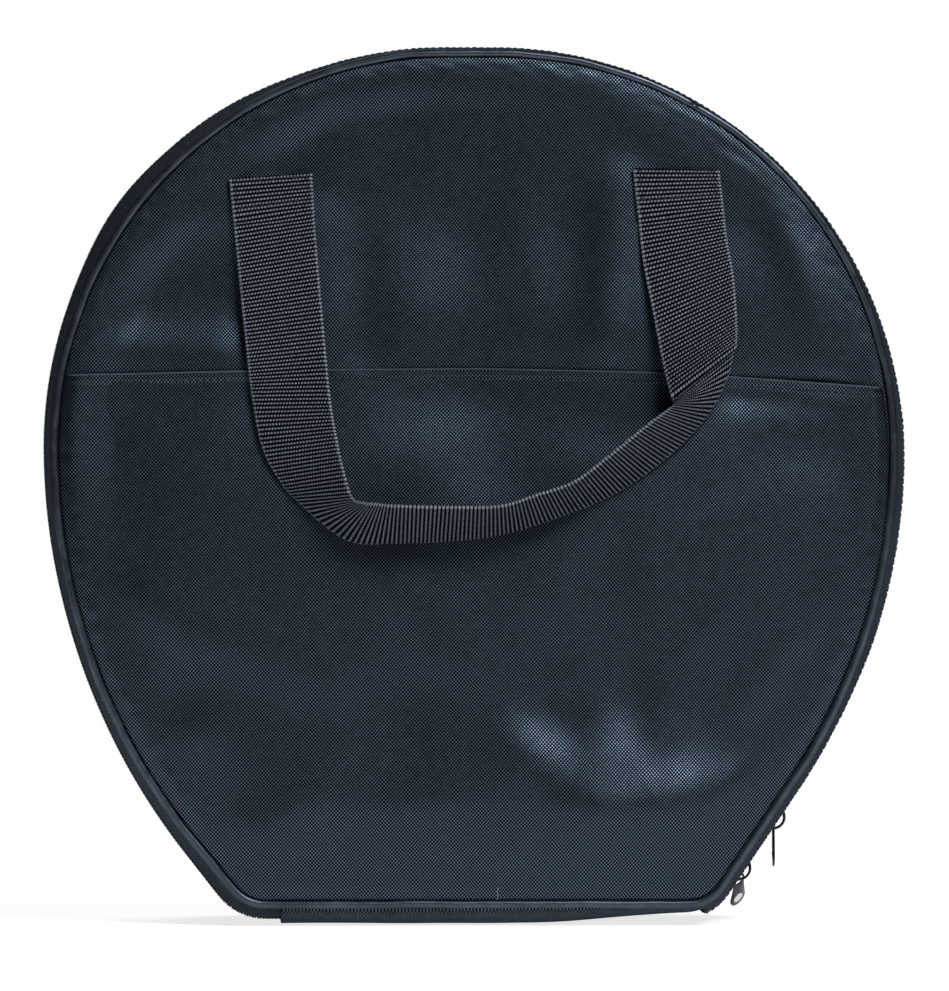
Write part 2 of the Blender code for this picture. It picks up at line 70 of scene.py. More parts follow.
# Zip
SLOT = 5.6 * MM
TAPE_HALF_WIDTH = 13 * MM
COIL_PITCH = 1.7 * MM
COIL_WIRE = 0.36 * MM
COIL_SIDES = 6
TAPE_UNDER = 0.75 * MM
TOPSTITCH_LINE = 9 * MM
SLIDER_ZONE = 105 * MM
SLIDER_LEVEL = 8.9 * MM

# Sliders and pulls, as in the frame
SLIDER_LENGTH = 13 * MM
NOSE_HALF_WIDTH = 4.9 * MM
TAIL_HALF_WIDTH = 3.6 * MM
TOP_PLATE = (9.5 * MM, 10.6 * MM)
BOTTOM_PLATE = (4.3 * MM, 5.4 * MM)
BRIDGE_REACH = 5 * MM
BRIDGE_WIRE = 0.65 * MM
PULL_LENGTH = 17.5 * MM
PULL_HALF_THICKNESS = 0.42 * MM
PULL_TIP_RADIUS = 4.5 * MM
PULL_NECK = 3.1 * MM
WINDOW_CENTRE = (0.0, -0.4 * MM)
WINDOW_REACH = (2.1 * MM, 2.2 * MM)
OVAL_LEVEL = -12.7 * MM
OVAL_REACH = (2.9 * MM, 2.7 * MM)
PLATE_BEVEL = 0.4 * MM
UPPER_HOOK = Vector((138.84066, 0, 41.85481)) * MM
LOWER_HOOK = Vector((123.18452, 0, 18.64091)) * MM
LOWER_PULL_TURN = math.radians(48)

# Photograph: millimetres for a pixel at the front panel, and the pixel of the origin there
PIXEL = 0.445 * MM
PIXEL_X = 475
PIXEL_Y = 926
PIPING_LAP = ((472, 905), (525, 905))
PIPING_CUT = (692, 108)
LOOSE_THREAD = ((497, 899), (498, 895), (497, 891), (498, 887))

# Cloth
YARN_PITCH = (0.76 * MM, 0.85 * MM)
SHEEN_BLUE = (0.52, 0.74, 1.0)

# Webbing
WEBBING_WIDTH = 38 * MM
WEBBING_HALF_THICKNESS = 0.8 * MM
ROW_PITCH = 1.8 * MM
HUMP_PITCH = 1.53 * MM

# Camera
CAMERA_DISTANCE = 3.0
CAMERA_TARGET = Vector((-0.0002, -HALF_DEPTH, 0.1916))
CAMERA_AZIMUTH = math.radians(-2)
CAMERA_ELEVATION = math.radians(-1.5)
PICTURE_HEIGHT = 0.441

# Studio
FLOOR_RADIUS = 1.3
FLOOR_ALBEDO = 0.82
FLOOR_GLOW = 0.76
FILL_COLOUR = (0.80, 0.90, 1.0, 1)
FILL_STRENGTH = 0.03
LIGHTS = (
    ("Key light", (0.9, -2.2, 1.85), (0, -0.05, 0.15), (1.1, 0.6), 68),
    ("Back light", (-0.6, 1.6, 2.6), (0, 0.05, 0.15), (1.6, 1.2), 26),
)


def smooth(start, end, value):
    t = np.clip((value - start) / (end - start), 0.0, 1.0)
    return t * t * (3 - 2 * t)


def bell(offset, width):
    """1 at no offset, falling away on both sides."""
    return np.exp(-((offset / width) ** 2))


def at_pixel(x, y):
    """The place on the front panel's plane that a pixel of the photograph shows."""
    return (x - PIXEL_X) * PIXEL, (PIXEL_Y - y) * PIXEL


def lengths(points):
    """How far along a line of points each one lies."""
    steps = np.linalg.norm(np.diff(points, axis=0), axis=1)
    return np.concatenate(([0.0], np.cumsum(steps)))


def unit(vectors):
    return vectors / np.linalg.norm(vectors, axis=-1, keepdims=True)


def cloth_map(along, across):
    """UV places in metres for a grid that runs along and across a strip of cloth."""
    return np.stack(np.meshgrid(along, across, indexing="ij"), -1)


class Waves:
    """A smooth uneven field: seeded sines of many directions and lengths, between about -1 and 1."""

    def __init__(self, seed, shortest, longest, count=14):
        draw = random.Random(seed)
        self.terms = []
        for _ in range(count):
            length = longest * (shortest / longest) ** draw.random()
            angle = draw.uniform(0, math.tau)
            self.terms.append(
                (
                    math.tau / length * math.cos(angle),
                    math.tau / length * math.sin(angle),
                    draw.uniform(0, math.tau),
                    math.sqrt(length / longest),
                )
            )
        self.scale = 1.6 / sum(term[3] for term in self.terms)

    def __call__(self, u, v):
        total = 0.0
        for a, b, phase, weight in self.terms:
            total = total + weight * np.sin(a * u + b * v + phase)
        return total * self.scale


class Outline:
    """The closed line that the piping follows, sampled at even steps from the right end of the base, up, over
    the top, down to the base's left end and back along it."""

    def __init__(self):
        spread = HALF_WIDTH - SHOULDER_RADIUS
        corner_height = BASE_RISE + CORNER_RADIUS
        right = np.array((BASE_SHIFT + BASE_HALF_LENGTH, corner_height))
        left = np.array((BASE_SHIFT - BASE_HALF_LENGTH, corner_height))
        right_angle = -RIGHT_HIP_TURN
        left_angle = math.pi + LEFT_HIP_TURN
        right_hip, right_radius = self.hip(right, 1, right_angle)
        left_hip, left_radius = self.hip(left, -1, left_angle)
        half_turn = math.pi / 2
        arcs = [
            (right, CORNER_RADIUS, -half_turn, right_angle),
            (right_hip, right_radius, right_angle, 0.0),
            (np.array((spread, WIDEST_HEIGHT)), SHOULDER_RADIUS, 0.0, half_turn),
            (np.array((-spread, WIDEST_HEIGHT)), SHOULDER_RADIUS, half_turn, math.pi),
            (left_hip, left_radius, math.pi, left_angle),
            (left, CORNER_RADIUS, left_angle, 3 * half_turn),
        ]
        ring = []
        for centre, radius, start, end in arcs:
            steps = max(8, int(radius * (end - start) / (0.5 * MM)))
            angles = np.linspace(start, end, steps)
            ring.append(centre + radius * np.stack((np.cos(angles), np.sin(angles)), 1))
        sides = np.concatenate(ring)
        self.side_length = lengths(sides)[-1]
        self.zip_end = self.side_length + ZIP_OVERRUN
        closed = np.concatenate((sides, sides[:1]))
        along = lengths(closed)
        self.length = along[-1]
        self.count = int(round(self.length / OUTLINE_STEP))
        self.s = np.linspace(0.0, self.length, self.count + 1)
        self.x = np.interp(self.s, along, closed[:, 0])
        self.z = np.interp(self.s, along, closed[:, 1])
        points = np.stack((self.x, self.z), 1)[:-1]
        tangent = np.roll(points, -1, 0) - np.roll(points, 1, 0)
        for _ in range(3):
            tangent = np.roll(tangent, -1, 0) + np.roll(tangent, 1, 0) + 2 * tangent
        tangent = unit(tangent)
        self.nx = np.append(tangent[:, 1], tangent[0, 1])
        self.nz = np.append(-tangent[:, 0], -tangent[0, 0])
        self.points = points

    def hip(self, corner, side, angle):
        """The arc from a side's widest point down to its corner: centre and radius."""
        widest = np.array((side * HALF_WIDTH, WIDEST_HEIGHT))
        normal = np.array((math.cos(angle), math.sin(angle)))
        radius = ((corner - widest) @ normal + CORNER_RADIUS) / (1 - side * normal[0])
        return widest - np.array((side * radius, 0.0)), radius

    def at(self, s):
        """Place and outward direction at a length along the line: x, z, nx, nz."""
        s = np.asarray(s) % self.length
        return [np.interp(s, self.s, value) for value in (self.x, self.z, self.nx, self.nz)]

    def place(self, s, offset, depth):
        """Points at lengths along the line, moved outward and set at a depth."""
        x, z, nx, nz = self.at(s)
        parts = np.broadcast_arrays(x + offset * nx, depth, z + offset * nz)
        return np.stack(parts, -1)

    def nearest(self, pixel):
        """The length along the line that is nearest to a pixel of the photograph."""
        x, z = at_pixel(*pixel)
        return self.s[np.argmin((self.points[:, 0] - x) ** 2 + (self.points[:, 1] - z) ** 2)]

    def inset(self, x, z):
        """How far inside the line each point lies."""
        flat_x, flat_z = np.ravel(x), np.ravel(z)
        out = np.empty(len(flat_x))
        ring = self.points[::2]
        for i in range(0, len(flat_x), 4096):
            part = slice(i, i + 4096)
            dx = flat_x[part, None] - ring[None, :, 0]
            dz = flat_z[part, None] - ring[None, :, 1]
            out[part] = np.sqrt((dx * dx + dz * dz).min(1))
        return out.reshape(np.shape(x))

    def span_at(self, height, inset):
        """The line's left and right ends at a height, moved inward by the inset."""
        x = self.points[:, 0] - inset * self.nx[:-1]
        z = self.points[:, 1] - inset * self.nz[:-1]
        before = z - height
        after = np.roll(z, -1) - height
        cross = np.nonzero(before * after <= 0)[0]
        share = before[cross] / (before[cross] - after[cross])
        found = x[cross] + share * (np.roll(x, -1)[cross] - x[cross])
        return found.min(), found.max()


class Shape:
    """Gathers faces, with their places on the cloth's UV map in metres and their materials, for one mesh."""

    def __init__(self):
        self.points, self.faces, self.uv, self.material = [], [], [], []
        self.total = 0

    def add(self, points, faces, uv=None, material=0):
        self.points.append(points.reshape(-1, 3))
        self.faces += (faces + self.total).tolist()
        self.uv.append(np.zeros((faces.size, 2)) if uv is None else uv.reshape(-1, 2))
        self.material.append(np.broadcast_to(material, len(faces)))
        self.total += len(self.points[-1])

    def grid(self, points, around=False, along=False, uv=None, caps=False, material=0):
        """Rows of points. around joins each row's ends, along joins the first and last row, and caps close
        those two rows with fans. uv has a place for each point, and one more column where around is set.
        material is a number, or one for each face of the grid."""
        rows, columns = points.shape[:2]
        row = np.arange(rows if along else rows - 1)
        column = np.arange(columns if around else columns - 1)
        r, c = (v.ravel() for v in np.meshgrid(row, column, indexing="ij"))
        r_next, c_next = (r + 1) % rows, (c + 1) % columns
        corners = (r * columns + c, r * columns + c_next, r_next * columns + c_next, r_next * columns + c)
        place = None
        if uv is not None:
            place = np.stack([uv[i, j] for i, j in ((r, c), (r, c + 1), (r + 1, c + 1), (r + 1, c))], 1)
        number = np.broadcast_to(material, (len(row), len(column))).ravel()
        self.add(points, np.stack(corners, 1), place, number)
        for end, face in ((0, 0), (rows - 1, -1)) if caps else ():
            ring = points[end]
            middle = np.concatenate((ring, ring.mean(0)[None]))
            i = np.arange(columns)
            fan = np.stack((i, (i + 1) % columns, 0 * i + columns), 1)
            place = None
            if uv is not None:
                outer = uv[end][:columns]
                place = np.stack((outer, np.roll(outer, -1, 0), 0 * outer + outer.mean(0)), 1)
            self.add(middle, fan, place, number.reshape(len(row), -1)[face][:1])

    def tube(self, path, radius, sides=10, closed=False, material=0, flat=1.0, upright=None):
        """A round tube along points. flat squeezes it along the upright direction."""
        tangent = np.roll(path, -1, 0) - np.roll(path, 1, 0) if closed else np.gradient(path, axis=0)
        tangent = unit(tangent)
        guide = np.array((0.0, 1.0, 0.0)) if upright is None else upright
        aside = unit(np.cross(tangent, guide))
        up = np.cross(aside, tangent)
        angles = np.linspace(0, math.tau, sides, endpoint=False)
        radius = np.broadcast_to(radius, len(path))[:, None, None]
        cosine, sine = np.cos(angles)[None, :, None], np.sin(angles)[None, :, None]
        ring = cosine * aside[:, None] + flat * sine * up[:, None]
        points = path[:, None] + radius * ring
        along = lengths(np.concatenate((path, path[:1])) if closed else path)
        girth = np.linspace(0, math.tau * float(radius.mean()), sides + 1)
        uv = cloth_map(along, girth)
        self.grid(points, around=True, along=closed, uv=uv, caps=not closed, material=material)

    def copies(self, pattern, places, axes, material=0):
        """The rows of points in pattern, closed to a tube: one at each place, turned to its three axes."""
        rows, columns = pattern.shape[:2]
        sample = Shape()
        sample.grid(pattern, around=True, caps=False)
        faces = np.array(sample.faces)
        flat = pattern.reshape(-1, 3)
        points = places[:, None] + np.einsum("pk,nkj->npj", flat, axes)
        offset = (np.arange(len(places)) * len(flat))[:, None, None]
        self.add(points, (faces[None] + offset).reshape(-1, 4), material=material)
        caps = np.arange(columns)
        for cap in (caps[::-1], caps + (rows - 1) * columns):
            self.faces += (cap[None] + offset[:, :, 0] + self.total - points.size // 3).tolist()
            self.uv.append(np.zeros((len(places) * columns, 2)))
            self.material.append(np.full(len(places), material))

    def stitches(self, path, normals, pitch=3.1 * MM, radius=0.24 * MM, material=0):
        """Small slack loops of thread that dip into the cloth at both ends, laid end to end on a line."""
        along = lengths(path)
        middles = np.arange(pitch / 2, along[-1], pitch)

        def value(rows, where):
            return np.stack([np.interp(where, along, column) for column in rows.T], 1)

        places = value(path, middles)
        tangent = unit(value(path, middles + pitch / 4) - value(path, middles - pitch / 4))
        normal = unit(value(normals, middles))
        aside = unit(np.cross(normal, tangent))
        axes = np.stack((tangent, aside, np.cross(tangent, aside)), 1)
        share = np.linspace(-1, 1, 7)
        angles = np.linspace(0, math.tau, 6, endpoint=False)
        arch = 0.9 * radius * (1 - 2.2 * share**4)
        thick = radius * (1 - 0.55 * share**6)
        pattern = np.stack(
            np.broadcast_arrays(
                (0.42 * pitch * share)[:, None],
                thick[:, None] * np.cos(angles),
                arch[:, None] + thick[:, None] * np.sin(angles),
            ),
            -1,
        )
        self.copies(pattern, places, axes, material)

    def move(self, matrix):
        turn = np.array(matrix.to_3x3())
        shift = np.array(matrix.translation)
        self.points = [points @ turn.T + shift for points in self.points]

    def build(self, name, *materials, sharp=None):
        mesh = bpy.data.meshes.new(name)
        mesh.from_pydata(np.concatenate(self.points).tolist(), [], self.faces)
        layer = mesh.uv_layers.new(name="cloth")
        layer.data.foreach_set("uv", np.concatenate(self.uv).astype(np.float32).ravel())
        mesh.polygons.foreach_set("material_index", np.concatenate(self.material).astype(np.int32))
        bm = bmesh.new()
        bm.from_mesh(mesh)
        bmesh.ops.remove_doubles(bm, verts=bm.verts, dist=1e-7)
        bmesh.ops.recalc_face_normals(bm, faces=bm.faces)
        bm.to_mesh(mesh)
        bm.free()
        mesh.shade_smooth()
        if sharp is not None:
            mesh.set_sharp_from_angle(angle=math.radians(sharp))
        for material in materials:
            mesh.materials.append(material)
        obj = bpy.data.objects.new(name, mesh)
        bpy.context.scene.collection.objects.link(obj)
        return obj


def stroke(x, z, start, end, width, height):
    """A soft ridge or valley along the line between two pixels of the photograph."""
    ax, az = at_pixel(*start)
    bx, bz = at_pixel(*end)
    dx, dz = bx - ax, bz - az
    length = math.hypot(dx, dz)
    along = ((x - ax) * dx + (z - az) * dz) / length
    off = ((x - ax) * -dz + (z - az) * dx) / length
    past = np.maximum(0, np.maximum(-along, along - length))
    return height * bell(off, width) * bell(past, 1.2 * width)


def route(key, count):
    """Points spaced evenly along a smooth curve through the rows of key, which hold one or more points."""
    ends = np.concatenate((2 * key[:1] - key[1:2], key, 2 * key[-1:] - key[-2:-1]))
    fine = []
    for i in range(1, len(ends) - 2):
        p0, p1, p2, p3 = ends[i - 1 : i + 3]
        t = np.linspace(0, 1, 40, endpoint=False)[:, None]
        bend = (2 * p0 - 5 * p1 + 4 * p2 - p3) * t**2 + (3 * p1 - p0 - 3 * p2 + p3) * t**3
        fine.append(0.5 * (2 * p1 + (p2 - p0) * t + bend))
    fine = np.concatenate(fine + [key[-1:]])
    along = lengths(fine.reshape(len(fine), -1, 3).mean(1))
    even = np.linspace(0, along[-1], count)
    return np.stack([np.interp(even, along, column) for column in fine.T], 1)


# Soft forms of the front: the two ends of each ridge in pixels of the photograph, its width and height in mm
PANEL_FOLDS = (
    ((260, 135), (690, 130), 30, -1.68),
    ((180, 215), (440, 210), 40, -3.2),
    ((520, 210), (790, 215), 40, -2.32),
    ((150, 300), (440, 295), 45, -3.6),
    ((520, 295), (820, 300), 45, 0.73),
    ((100, 390), (440, 390), 40, -3.2),
    ((520, 390), (850, 390), 40, -3.2),
    ((460, 80), (468, 230), 16, -0.28),
    ((540, 75), (530, 170), 20, -0.27),
    ((400, 85), (380, 180), 20, -1.53),
    ((325, 95), (300, 170), 16, -2.27),
    ((640, 110), (720, 180), 14, 1.5),
    ((760, 160), (860, 300), 14, 2.01),
    ((80, 350), (215, 354), 14, 2.8),
    ((110, 310), (200, 290), 18, -0.06),
    ((100, 240), (210, 200), 18, 3.6),
    ((354, 200), (366, 340), 13, -1.23),
    ((806, 240), (832, 365), 13, 2.48),
    ((620, 190), (610, 330), 14, 1.83),
    ((570, 250), (580, 340), 16, -0.84),
    ((745, 392), (890, 400), 9, -1.8),
    ((420, 330), (590, 345), 22, 1.71),
)
POCKET_FOLDS = (
    ((110, 440), (300, 440), 34, -2.72),
    ((350, 440), (620, 440), 34, -0.37),
    ((700, 440), (860, 440), 34, -2.72),
    ((110, 540), (330, 550), 34, -2.72),
    ((360, 590), (600, 600), 34, -0.68),
    ((650, 560), (850, 550), 34, -2.72),
    ((130, 650), (330, 660), 34, -2.21),
    ((380, 690), (560, 700), 34, -2.72),
    ((610, 680), (800, 670), 34, -2.72),
    ((190, 760), (400, 770), 34, 0.29),
    ((460, 790), (600, 800), 30, 2.36),
    ((600, 800), (740, 790), 30, 2.24),
    ((240, 850), (480, 855), 28, 0.67),
    ((520, 860), (720, 855), 28, 1.37),
    ((600, 812), (690, 812), 20, 1.73),
    ((690, 800), (775, 788), 15, 1.51),
    ((445, 672), (520, 740), 15, 1.16),
    ((520, 745), (600, 815), 16, 1.62),
    ((500, 590), (548, 660), 12, -0.63),
    ((556, 600), (580, 670), 14, 1.12),
    ((584, 680), (606, 750), 14, 1.93),
    ((610, 570), (628, 660), 12, -1.93),
    ((641, 580), (664, 715), 12, 1.19),
    ((470, 560), (510, 630), 14, -0.24),
    ((400, 590), (470, 660), 16, 1.63),
    ((700, 488), (775, 444), 15, -1.66),
    ((700, 430), (720, 500), 14, 0.38),
    ((760, 556), (698, 640), 9, 0.88),
    ((820, 600), (760, 680), 12, 1.0),
    ((852, 478), (804, 560), 8, 0.87),
    ((842, 560), (806, 640), 8, 0.94),
    ((794, 640), (752, 702), 9, 0.81),
    ((66, 481), (150, 486), 10, -0.1),
    ((90, 420), (200, 410), 16, 1.71),
    ((60, 560), (130, 590), 10, 1.08),
    ((92, 690), (150, 672), 10, 0.54),
    ((128, 748), (196, 734), 11, 0.91),
    ((330, 480), (520, 470), 26, -2.08),
    ((170, 620), (330, 670), 20, 2.87),
    ((300, 760), (440, 735), 18, 0.22),
    ((230, 845), (320, 800), 14, 1.62),
)


class Shader:
    """Builds one material from nodes. A value is a number, a colour or another node's socket."""

    def __init__(self, name):
        self.material = bpy.data.materials.new(name)
        self.material.use_nodes = True
        self.tree = self.material.node_tree
        self.surface = self.tree.nodes["Principled BSDF"]

    def feed(self, socket, value):
        if isinstance(value, bpy.types.NodeSocket):
            self.tree.links.new(value, socket)
        elif hasattr(value, "__len__") and socket.type == "RGBA":
            socket.default_value = (*value, 1.0)
        else:
            socket.default_value = value

    def node(self, kind, inputs=None, output=0, **settings):
        node = self.tree.nodes.new(kind)
        for key, value in settings.items():
            setattr(node, key, value)
        for key, value in (inputs or {}).items():
            self.feed(node.inputs[key], value)
        return node.outputs[output]

    def math(self, operation, *values):
        return self.node("ShaderNodeMath", dict(enumerate(values)), operation=operation)

    def times(self, a, b):
        return self.math("MULTIPLY", a, b)

    def plus(self, a, b):
        return self.math("ADD", a, b)

    def cloth(self):
        """The cloth's own lengths in metres, from its UV map."""
        place = self.node("ShaderNodeUVMap", uv_map="cloth")
        split = self.tree.nodes.new("ShaderNodeSeparateXYZ")
        self.tree.links.new(place, split.inputs[0])
        return split.outputs[0], split.outputs[1]

    def noise(self, scale, detail=2.0, roughness=0.5):
        vector = self.tree.nodes.new("ShaderNodeTexCoord").outputs["Object"]
        inputs = {"Vector": vector, "Scale": scale, "Detail": detail, "Roughness": roughness}
        return self.node("ShaderNodeTexNoise", inputs)

    def span(self, value, low, high, to_low=0.0, to_high=1.0):
        inputs = {0: value, 1: low, 2: high, 3: to_low, 4: to_high}
        return self.node("ShaderNodeMapRange", inputs, interpolation_type="SMOOTHSTEP")

    def mix(self, share, a, b):
        inputs = {0: share, 6: a, 7: b}
        return self.node("ShaderNodeMix", inputs, output=2, data_type="RGBA")

    def bump(self, height, distance):
        inputs = {"Height": height, "Distance": distance, "Strength": 1.0}
        return self.node("ShaderNodeBump", inputs)

    def wave(self, value, pitch):
        """A sine of that half-pitch along a length in metres."""
        return self.math("SINE", self.times(value, math.pi / pitch))

    def set(self, **values):
        for name, value in values.items():
            self.feed(self.surface.inputs[name.replace("_", " ")], value)

    def finish(self, colour, rough, normal):
        self.feed(self.surface.inputs["Base Color"], colour)
        self.feed(self.surface.inputs["Roughness"], rough)
        self.feed(self.surface.inputs["Normal"], normal)
        return self.material


def plain_weave(name, pitch, dark, light, roughness, specular, tint, depth, painted_hollow_shade=False):
    """Cloth of two sets of yarns that pass over and under each other one by one. Its colour is painted light
    and shade: the raised crossings take the light colour and the hollows between them the dark one. With the
    last flag set, the hollows are also dark metal, which gives back next to no light: painted shade on the
    gloss."""
    shader = Shader(name)
    u, v = shader.cloth()
    shift = shader.span(shader.noise(70.0), 0.0, 1.0, -0.4 * pitch[0], 0.4 * pitch[0])
    u, v = shader.plus(u, shift), shader.plus(v, shift)
    crossing = shader.times(shader.wave(u, pitch[0]), shader.wave(v, pitch[1]))
    # over is 1 on the raised crossings and 0 in the hollows; it sets the painted light and shade below.
    over = shader.span(crossing, -0.35, 0.7)
    slub = shader.span(shader.noise(260.0, 3.0, 0.6), 0.3, 0.7, 0.78, 1.16)
    patch = shader.span(shader.noise(12.0, 3.0, 0.55), 0.3, 0.7, 0.86, 1.12)
    share = shader.times(over, shader.times(slub, patch))
    rough = shader.span(slub, 0.78, 1.16, roughness + 0.04, roughness - 0.04)
    rough = shader.plus(rough, shader.span(over, 0.0, 1.0, 0.4, 0.0))
    shader.set(IOR=1.7, Specular_IOR_Level=specular, Specular_Tint=tint)
    # Painted shade: the hollows between the yarns become dark metal, so they give back no gloss.
    if painted_hollow_shade:
        shader.set(Metallic=shader.math("SUBTRACT", 1.0, over))
    # Painted light and shade: the colour runs from dark in the hollows to light on the raised crossings.
    return shader.finish(shader.mix(share, dark, light), rough, shader.bump(crossing, depth))


def ribbed_webbing(name):
    """Webbing whose rows of glossy humps cross it, each row set off from the last by half a hump. The humps'
    light colour is a painted highlight, and the gaps between them are painted shade: near-black colour and
    dark metal that gives back next to no light.
    """
    shader = Shader(name)
    u, v = shader.cloth()
    row = shader.math("DIVIDE", u, ROW_PITCH)
    odd = shader.math("FRACT", shader.times(shader.math("FLOOR", row), 0.5))
    across = shader.plus(shader.math("DIVIDE", v, HUMP_PITCH), odd)
    du = shader.math("SUBTRACT", shader.math("FRACT", row), 0.5)
    dv = shader.math("SUBTRACT", shader.math("FRACT", across), 0.5)
    far = shader.plus(
        shader.math("POWER", shader.times(du, 2.5), 2.0), shader.math("POWER", shader.times(dv, 1.75), 2.0)
    )
    hump = shader.span(shader.math("SQRT", far), 1.0, 0.25)
    aside = shader.math("ABSOLUTE", shader.math("SUBTRACT", v, WEBBING_WIDTH / 2))
    edge = shader.span(aside, 17.6 * MM, 18.2 * MM)
    bead = shader.times(edge, shader.span(shader.math("ABSOLUTE", du), 0.5, 0.2))
    hump = shader.math("MAXIMUM", hump, bead)
    share = shader.times(hump, shader.span(shader.noise(900.0), 0.25, 0.75, 0.5, 1.2))
    # Painted highlight and shade: light grey on the humps and the beaded edge, near black in the gaps.
    colour = shader.mix(share, (0.0012, 0.0013, 0.0018), (0.17, 0.19, 0.245))
    rough = shader.span(hump, 0.0, 1.0, 0.75, 0.42)
    shader.set(Specular_IOR_Level=0.5, Specular_Tint=(0.8, 0.88, 1.0))
    # Painted shade: the gaps are dark metal, which gives back next to no light.
    shader.set(Metallic=shader.math("SUBTRACT", 1.0, hump))
    return shader.finish(colour, rough, shader.bump(hump, 0.3 * MM))


def smooth_vinyl(name):
    shader = Shader(name)
    tone = shader.span(shader.noise(90.0, 3.0), 0.3, 0.7)
    colour = shader.mix(tone, (0.036, 0.045, 0.060), (0.056, 0.069, 0.090))
    rough = shader.span(shader.noise(260.0, 3.0), 0.3, 0.7, 0.26, 0.36)
    shader.set(Metallic=0.75, Specular_IOR_Level=0.4, Specular_Tint=(0.14, 0.16, 0.18))
    return shader.finish(colour, rough, shader.bump(shader.noise(1600.0, 3.0, 0.6), 0.025 * MM))


def dark_metal(name, low, high, roughness):
    shader = Shader(name)
    wear = shader.span(shader.noise(420.0, 4.0, 0.6), 0.35, 0.75)
    rough = shader.span(shader.noise(1500.0, 3.0, 0.6), 0.3, 0.7, roughness, roughness + 0.12)
    shader.set(Metallic=1.0)
    grain = shader.bump(shader.noise(700.0, 3.0), 0.012 * MM)
    return shader.finish(shader.mix(wear, low, high), rough, grain)


def nylon_coil(name):
    shader = Shader(name)
    tone = shader.span(shader.noise(500.0), 0.3, 0.7)
    colour = shader.mix(tone, (0.010, 0.010, 0.012), (0.022, 0.022, 0.025))
    rough = shader.span(shader.noise(900.0), 0.3, 0.7, 0.26, 0.4)
    shader.set(Specular_IOR_Level=0.35)
    return shader.finish(colour, rough, shader.bump(shader.noise(2500.0), 0.02 * MM))


def knitted_tape(name):
    """Tape of small slanting stitches that meet in a herringbone. Its colour is darker in the grooves between
    the stitches: painted shade.
    """
    shader = Shader(name)
    u, v = shader.cloth()
    lean = shader.times(shader.math("PINGPONG", v, 1.1 * MM), 0.9)
    rib = shader.math("ABSOLUTE", shader.wave(shader.plus(u, lean), 0.42 * MM))
    # Painted shade: dark in the grooves, light on the stitches.
    colour = shader.mix(rib, (0.005, 0.005, 0.007), (0.021, 0.022, 0.026))
    shader.set(Specular_IOR_Level=0.0)
    return shader.finish(colour, shader.span(rib, 0.0, 1.0, 0.9, 0.62), shader.bump(rib, 0.14 * MM))


def sewing_thread(name, dark, light):
    shader = Shader(name)
    twist = shader.span(shader.noise(2400.0, 1.0), 0.35, 0.65)
    rough = shader.span(twist, 0.0, 1.0, 0.7, 0.45)
    shader.set(Specular_IOR_Level=0.2)
    return shader.finish(shader.mix(twist, dark, light), rough, shader.bump(twist, 0.05 * MM))


